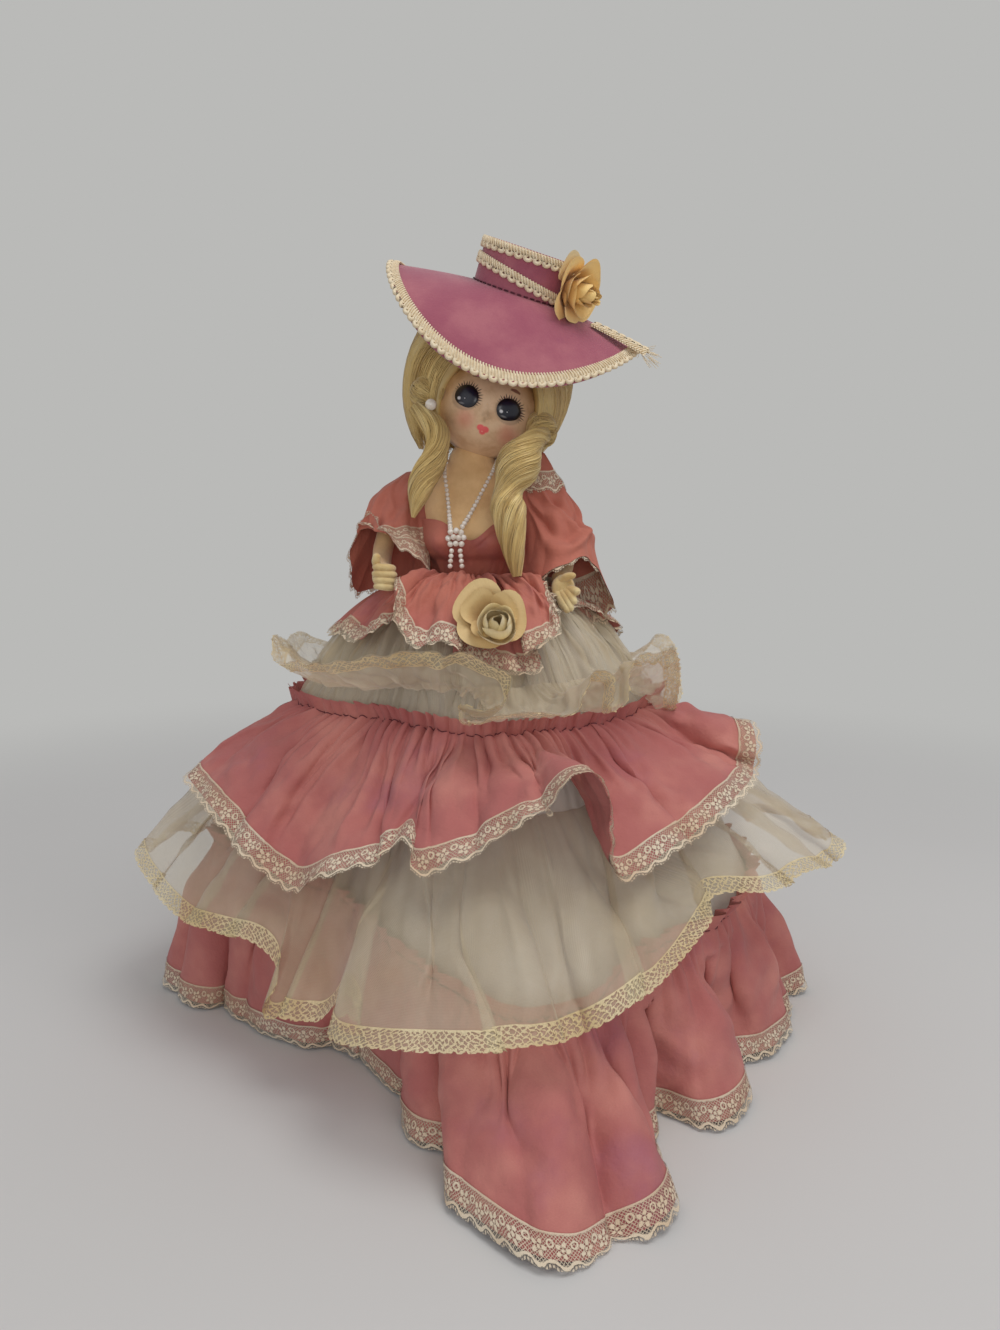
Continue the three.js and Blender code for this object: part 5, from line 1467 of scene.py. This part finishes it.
def roses():
    turn = math.radians(HAT_ROSE["turn"])
    out = np.array([math.sin(turn), -math.cos(turn), 0])
    side = np.array([math.cos(turn), math.sin(turn), 0])
    centre = out * (CROWN_RADIUS + 1.0) + [0, 0, HAT_ROSE["z"]]

    def on_crown(points):
        return in_hat(centre + points[..., :1] * side + points[..., 1:2] * [0, 0, 1] + points[..., 2:] * out)

    radius, height = HAT_ROSE["radius"], HAT_ROSE["height"]
    bloom = [rose(radius, height, layers, 3) for layers in (HAT_BUD, HAT_PETALS)]
    piece("hat_rose_petals", bloom, OCHRE_SATIN, "head", ["hat_rose"], on_crown)
    leaf = petal(215, 40, radius * 1.12, height * 0.35, 1.5, 8)
    piece("hat_rose_leaf", [leaf], IVORY_SATIN, "head", place=on_crown)

    low, high = (np.array(corner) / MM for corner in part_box("waist_rose"))
    radius, height = WAIST_ROSE["radius"], WAIST_ROSE["height"]
    tip = math.radians(WAIST_ROSE["tip"])
    ahead = np.array([0, -math.sin(tip), math.cos(tip)])
    up = np.array([0, math.cos(tip), math.sin(tip)])
    foot = (low + high) / 2 - ahead * (height * 0.5 - WAIST_ROSE["stand"])
    foot = foot + [WAIST_ROSE["shift"], 0, 0] - up * WAIST_ROSE["fall"]

    def on_waist(points):
        return foot + points[..., :1] * [1, 0, 0] + points[..., 1:2] * up + points[..., 2:] * ahead

    def on_bud(points):
        return on_waist(points + WAIST_BUD_AT)

    petals = rose(radius, height, WAIST_PETALS, 7)
    piece("waist_rose_petals", [petals], AGED_SATIN, replaces=["waist_rose"], place=on_waist)
    piece("waist_rose_bud", [rose(radius * 1.75, height, WAIST_BUD, 9)], IVORY_SATIN, place=on_bud)


def braid_tail():
    """The loose end of the hat's braid: it runs out from under the rose and ends in frayed threads."""
    steps, threads = BRAID_TAIL["steps"], BRAID_TAIL["frayed"]
    share = np.linspace(*BRAID_TAIL["shares"], steps)
    lift = np.linspace(*BRAID_TAIL["lift"], steps)
    lines = []
    for edge in (-1, 1):
        half = BRAID_TAIL["width"] / 2 / (CROWN_RADIUS + BRIM_REACH["side"] * share)
        turn = math.radians(BRAID_TAIL["turn"]) + edge * half
        point = brim_point(turn, share, 0.0)
        point[..., 2] += lift
        lines.append(in_hat(point))
    up = in_hat([0, 0, 1]) - in_hat([0, 0, 0])
    parts = braid(lines[0], lines[1], np.tile(up, (steps, 1)))
    chance = np.random.default_rng(19)
    end = mix(lines[0][-1], lines[1][-1], 0.5)
    heading = unit(lines[0][-1] - lines[0][-6])
    spread = chance.normal(0, 1.4, (threads, 1, 3))
    run = np.linspace(0, 1, 6)[None, :, None]
    frayed = end + spread + heading * run * chance.uniform(2, 6, (threads, 1, 1)) + spread * run * 0.9
    parts.append(tubes(frayed, 0.14, 3))
    piece("braid_tail_gimp", parts, GIMP, "head", ["braid_tail"])


# Pearls
def chest_point(x, z, lift):
    """A point in front of the chest, where a strand would hang across its hollow."""
    turn = np.degrees(np.arcsin(np.clip(x / (FIGURE[4][1] + lift), -1, 1)))
    at, middle = (figure_point(z, azimuth, lift, BUST["cup"])[..., 1] for azimuth in (turn, 0.0))
    return stacked(x, np.minimum(at, middle), z)


def beads(centres, radii):
    return [ball(centre, (radius,) * 3, 14, 10) for centre, radius in zip(centres, radii)]


def necklace():
    lift = STRAND["lift"]
    knot_x, knot_z = STRAND["knot"]
    neck_x = abs(figure_point(STRAND["neck_z"], STRAND["neck_turn"], STRAND["neck_lift"])[0])
    knot = chest_point(knot_x, knot_z, lift + KNOT_RADIUS - STRAND["radius"])
    share = np.array([0.25, 0.55, 0.85])

    def side_points(side):
        x = mix(knot_x + side * KNOT_RADIUS * 0.7, side * neck_x, share)
        down = chest_point(x, mix(knot_z + KNOT_RADIUS, STRAND["neck_z"], share), lift)
        end = knot + [side * KNOT_RADIUS * 0.7, 0, KNOT_RADIUS + STRAND["radius"] - 0.3]
        return np.vstack([end, down])

    behind = 180 + np.linspace(-1, 1, 6) * (180 - STRAND["neck_turn"])
    back = figure_point(np.full(6, STRAND["neck_z"] + 1.5), behind, STRAND["neck_lift"])
    path = spline(np.vstack([side_points(1), back, side_points(-1)[::-1]]), 240)
    length = row_lengths(path[None])[0]
    centres, radii, at = [], [], 0.0
    while at < length[-1]:
        middle = abs(at / length[-1] - 0.5) * 2
        radius = mix(STRAND["least"], STRAND["radius"], middle ** 1.5)
        at += radius
        centres.append(along_line(path, length, at))
        radii.append(radius * 0.94)
        at += radius
    strand = piece("necklace_pearls", beads(centres, radii), PEARL, replaces=["necklace_strand"])

    chance = np.random.default_rng(23)
    tied = [knot + [2.4 * x, -0.8 * chance.uniform(-1, 1.6), 2.7 * z] for x, z in KNOT_SPOTS]
    hung = [knot + [side * (2.0 + 0.25 * i), -0.2, -KNOT_RADIUS - 2.2 - 2.35 * i]
            for side in SIDES.values() for i in range(4)]
    for name, centres, radius in [("knot", tied, KNOT_BEAD), ("drop", hung, DROP_BEAD)]:
        pearls = beads(centres, [radius] * len(centres))
        piece(f"necklace_{name}_pearls", pearls, PEARL, replaces=[f"necklace_{name}"])


figure()
arms()
head()
wig()
rolls()
ringlets()
hat()
roses()
braid_tail()
necklace()


# Stage
def seen(tree):
    """1 for rays that show the stage to the camera, straight or by gloss or glass, 0 for those that light."""
    rays = tree.nodes.new("ShaderNodeLightPath")
    shown = Num(tree, rays.outputs["Is Camera Ray"])
    for kind in ("Is Glossy Ray", "Is Transmission Ray"):
        shown = shown.high(Num(tree, rays.outputs[kind]))
    return shown


def mix_shaders(tree, share, first, second, output):
    node = tree.nodes.new("ShaderNodeMixShader")
    tree.links.new(share.socket, node.inputs[0])
    tree.links.new(first, node.inputs[1])
    tree.links.new(second, node.inputs[2])
    tree.links.new(node.outputs[0], output)


def studio():
    paper = Finish("paper", Roughness=0.95)
    paper.set("Base Color", paper.blend(paper.noise(3, 2), PAPER, PAPER_SHADE))
    glow = paper.node("ShaderNodeEmission")
    glow.inputs["Color"].default_value = linear(BACKDROP)
    u, v = paper.uv()
    far = u.length(v).step(*FLOOR_FADE)
    output = paper.tree.nodes["Material Output"].inputs["Surface"]
    mix_shaders(paper.tree, far * seen(paper.tree), paper.surface.outputs[0], glow.outputs[0], output)
    side = np.linspace(-FLOOR, FLOOR, 9)
    points = stacked(side, side[:, None], 0.0)
    mesh_object("floor", *grid(points, points[..., :2] * MM), paper.material)

    world = bpy.data.worlds.new("studio")
    world.use_nodes = True
    tree = world.node_tree
    ambient = tree.nodes["Background"]
    ambient.inputs["Color"].default_value = AMBIENT_COLOUR
    ambient.inputs["Strength"].default_value = AMBIENT
    shown = tree.nodes.new("ShaderNodeBackground")
    shown.inputs["Color"].default_value = linear(BACKDROP)
    output = tree.nodes["World Output"].inputs["Surface"]
    mix_shaders(tree, seen(tree), ambient.outputs[0], shown.outputs[0], output)
    bpy.context.scene.world = world
    for name, (place, target, size, power) in LAMPS.items():
        light = bpy.data.lights.new(name, "AREA")
        light.size = size * MM
        light.energy = power
        lamp = placed(name, light)
        lamp.location = Vector(place) * MM
        lamp.rotation_euler = (Vector(target) - Vector(place)).to_track_quat("-Z", "Y").to_euler()

    camera = placed("camera", bpy.data.cameras.new("camera"))
    camera.location = Vector(CAMERA_AT) * MM
    camera.rotation_euler = (math.radians(90 - CAMERA_DOWN), 0, 0)
    camera.data.lens = CAMERA_LENS
    bpy.context.scene.camera = camera
    bpy.context.scene.view_settings.view_transform = "Standard"


studio()
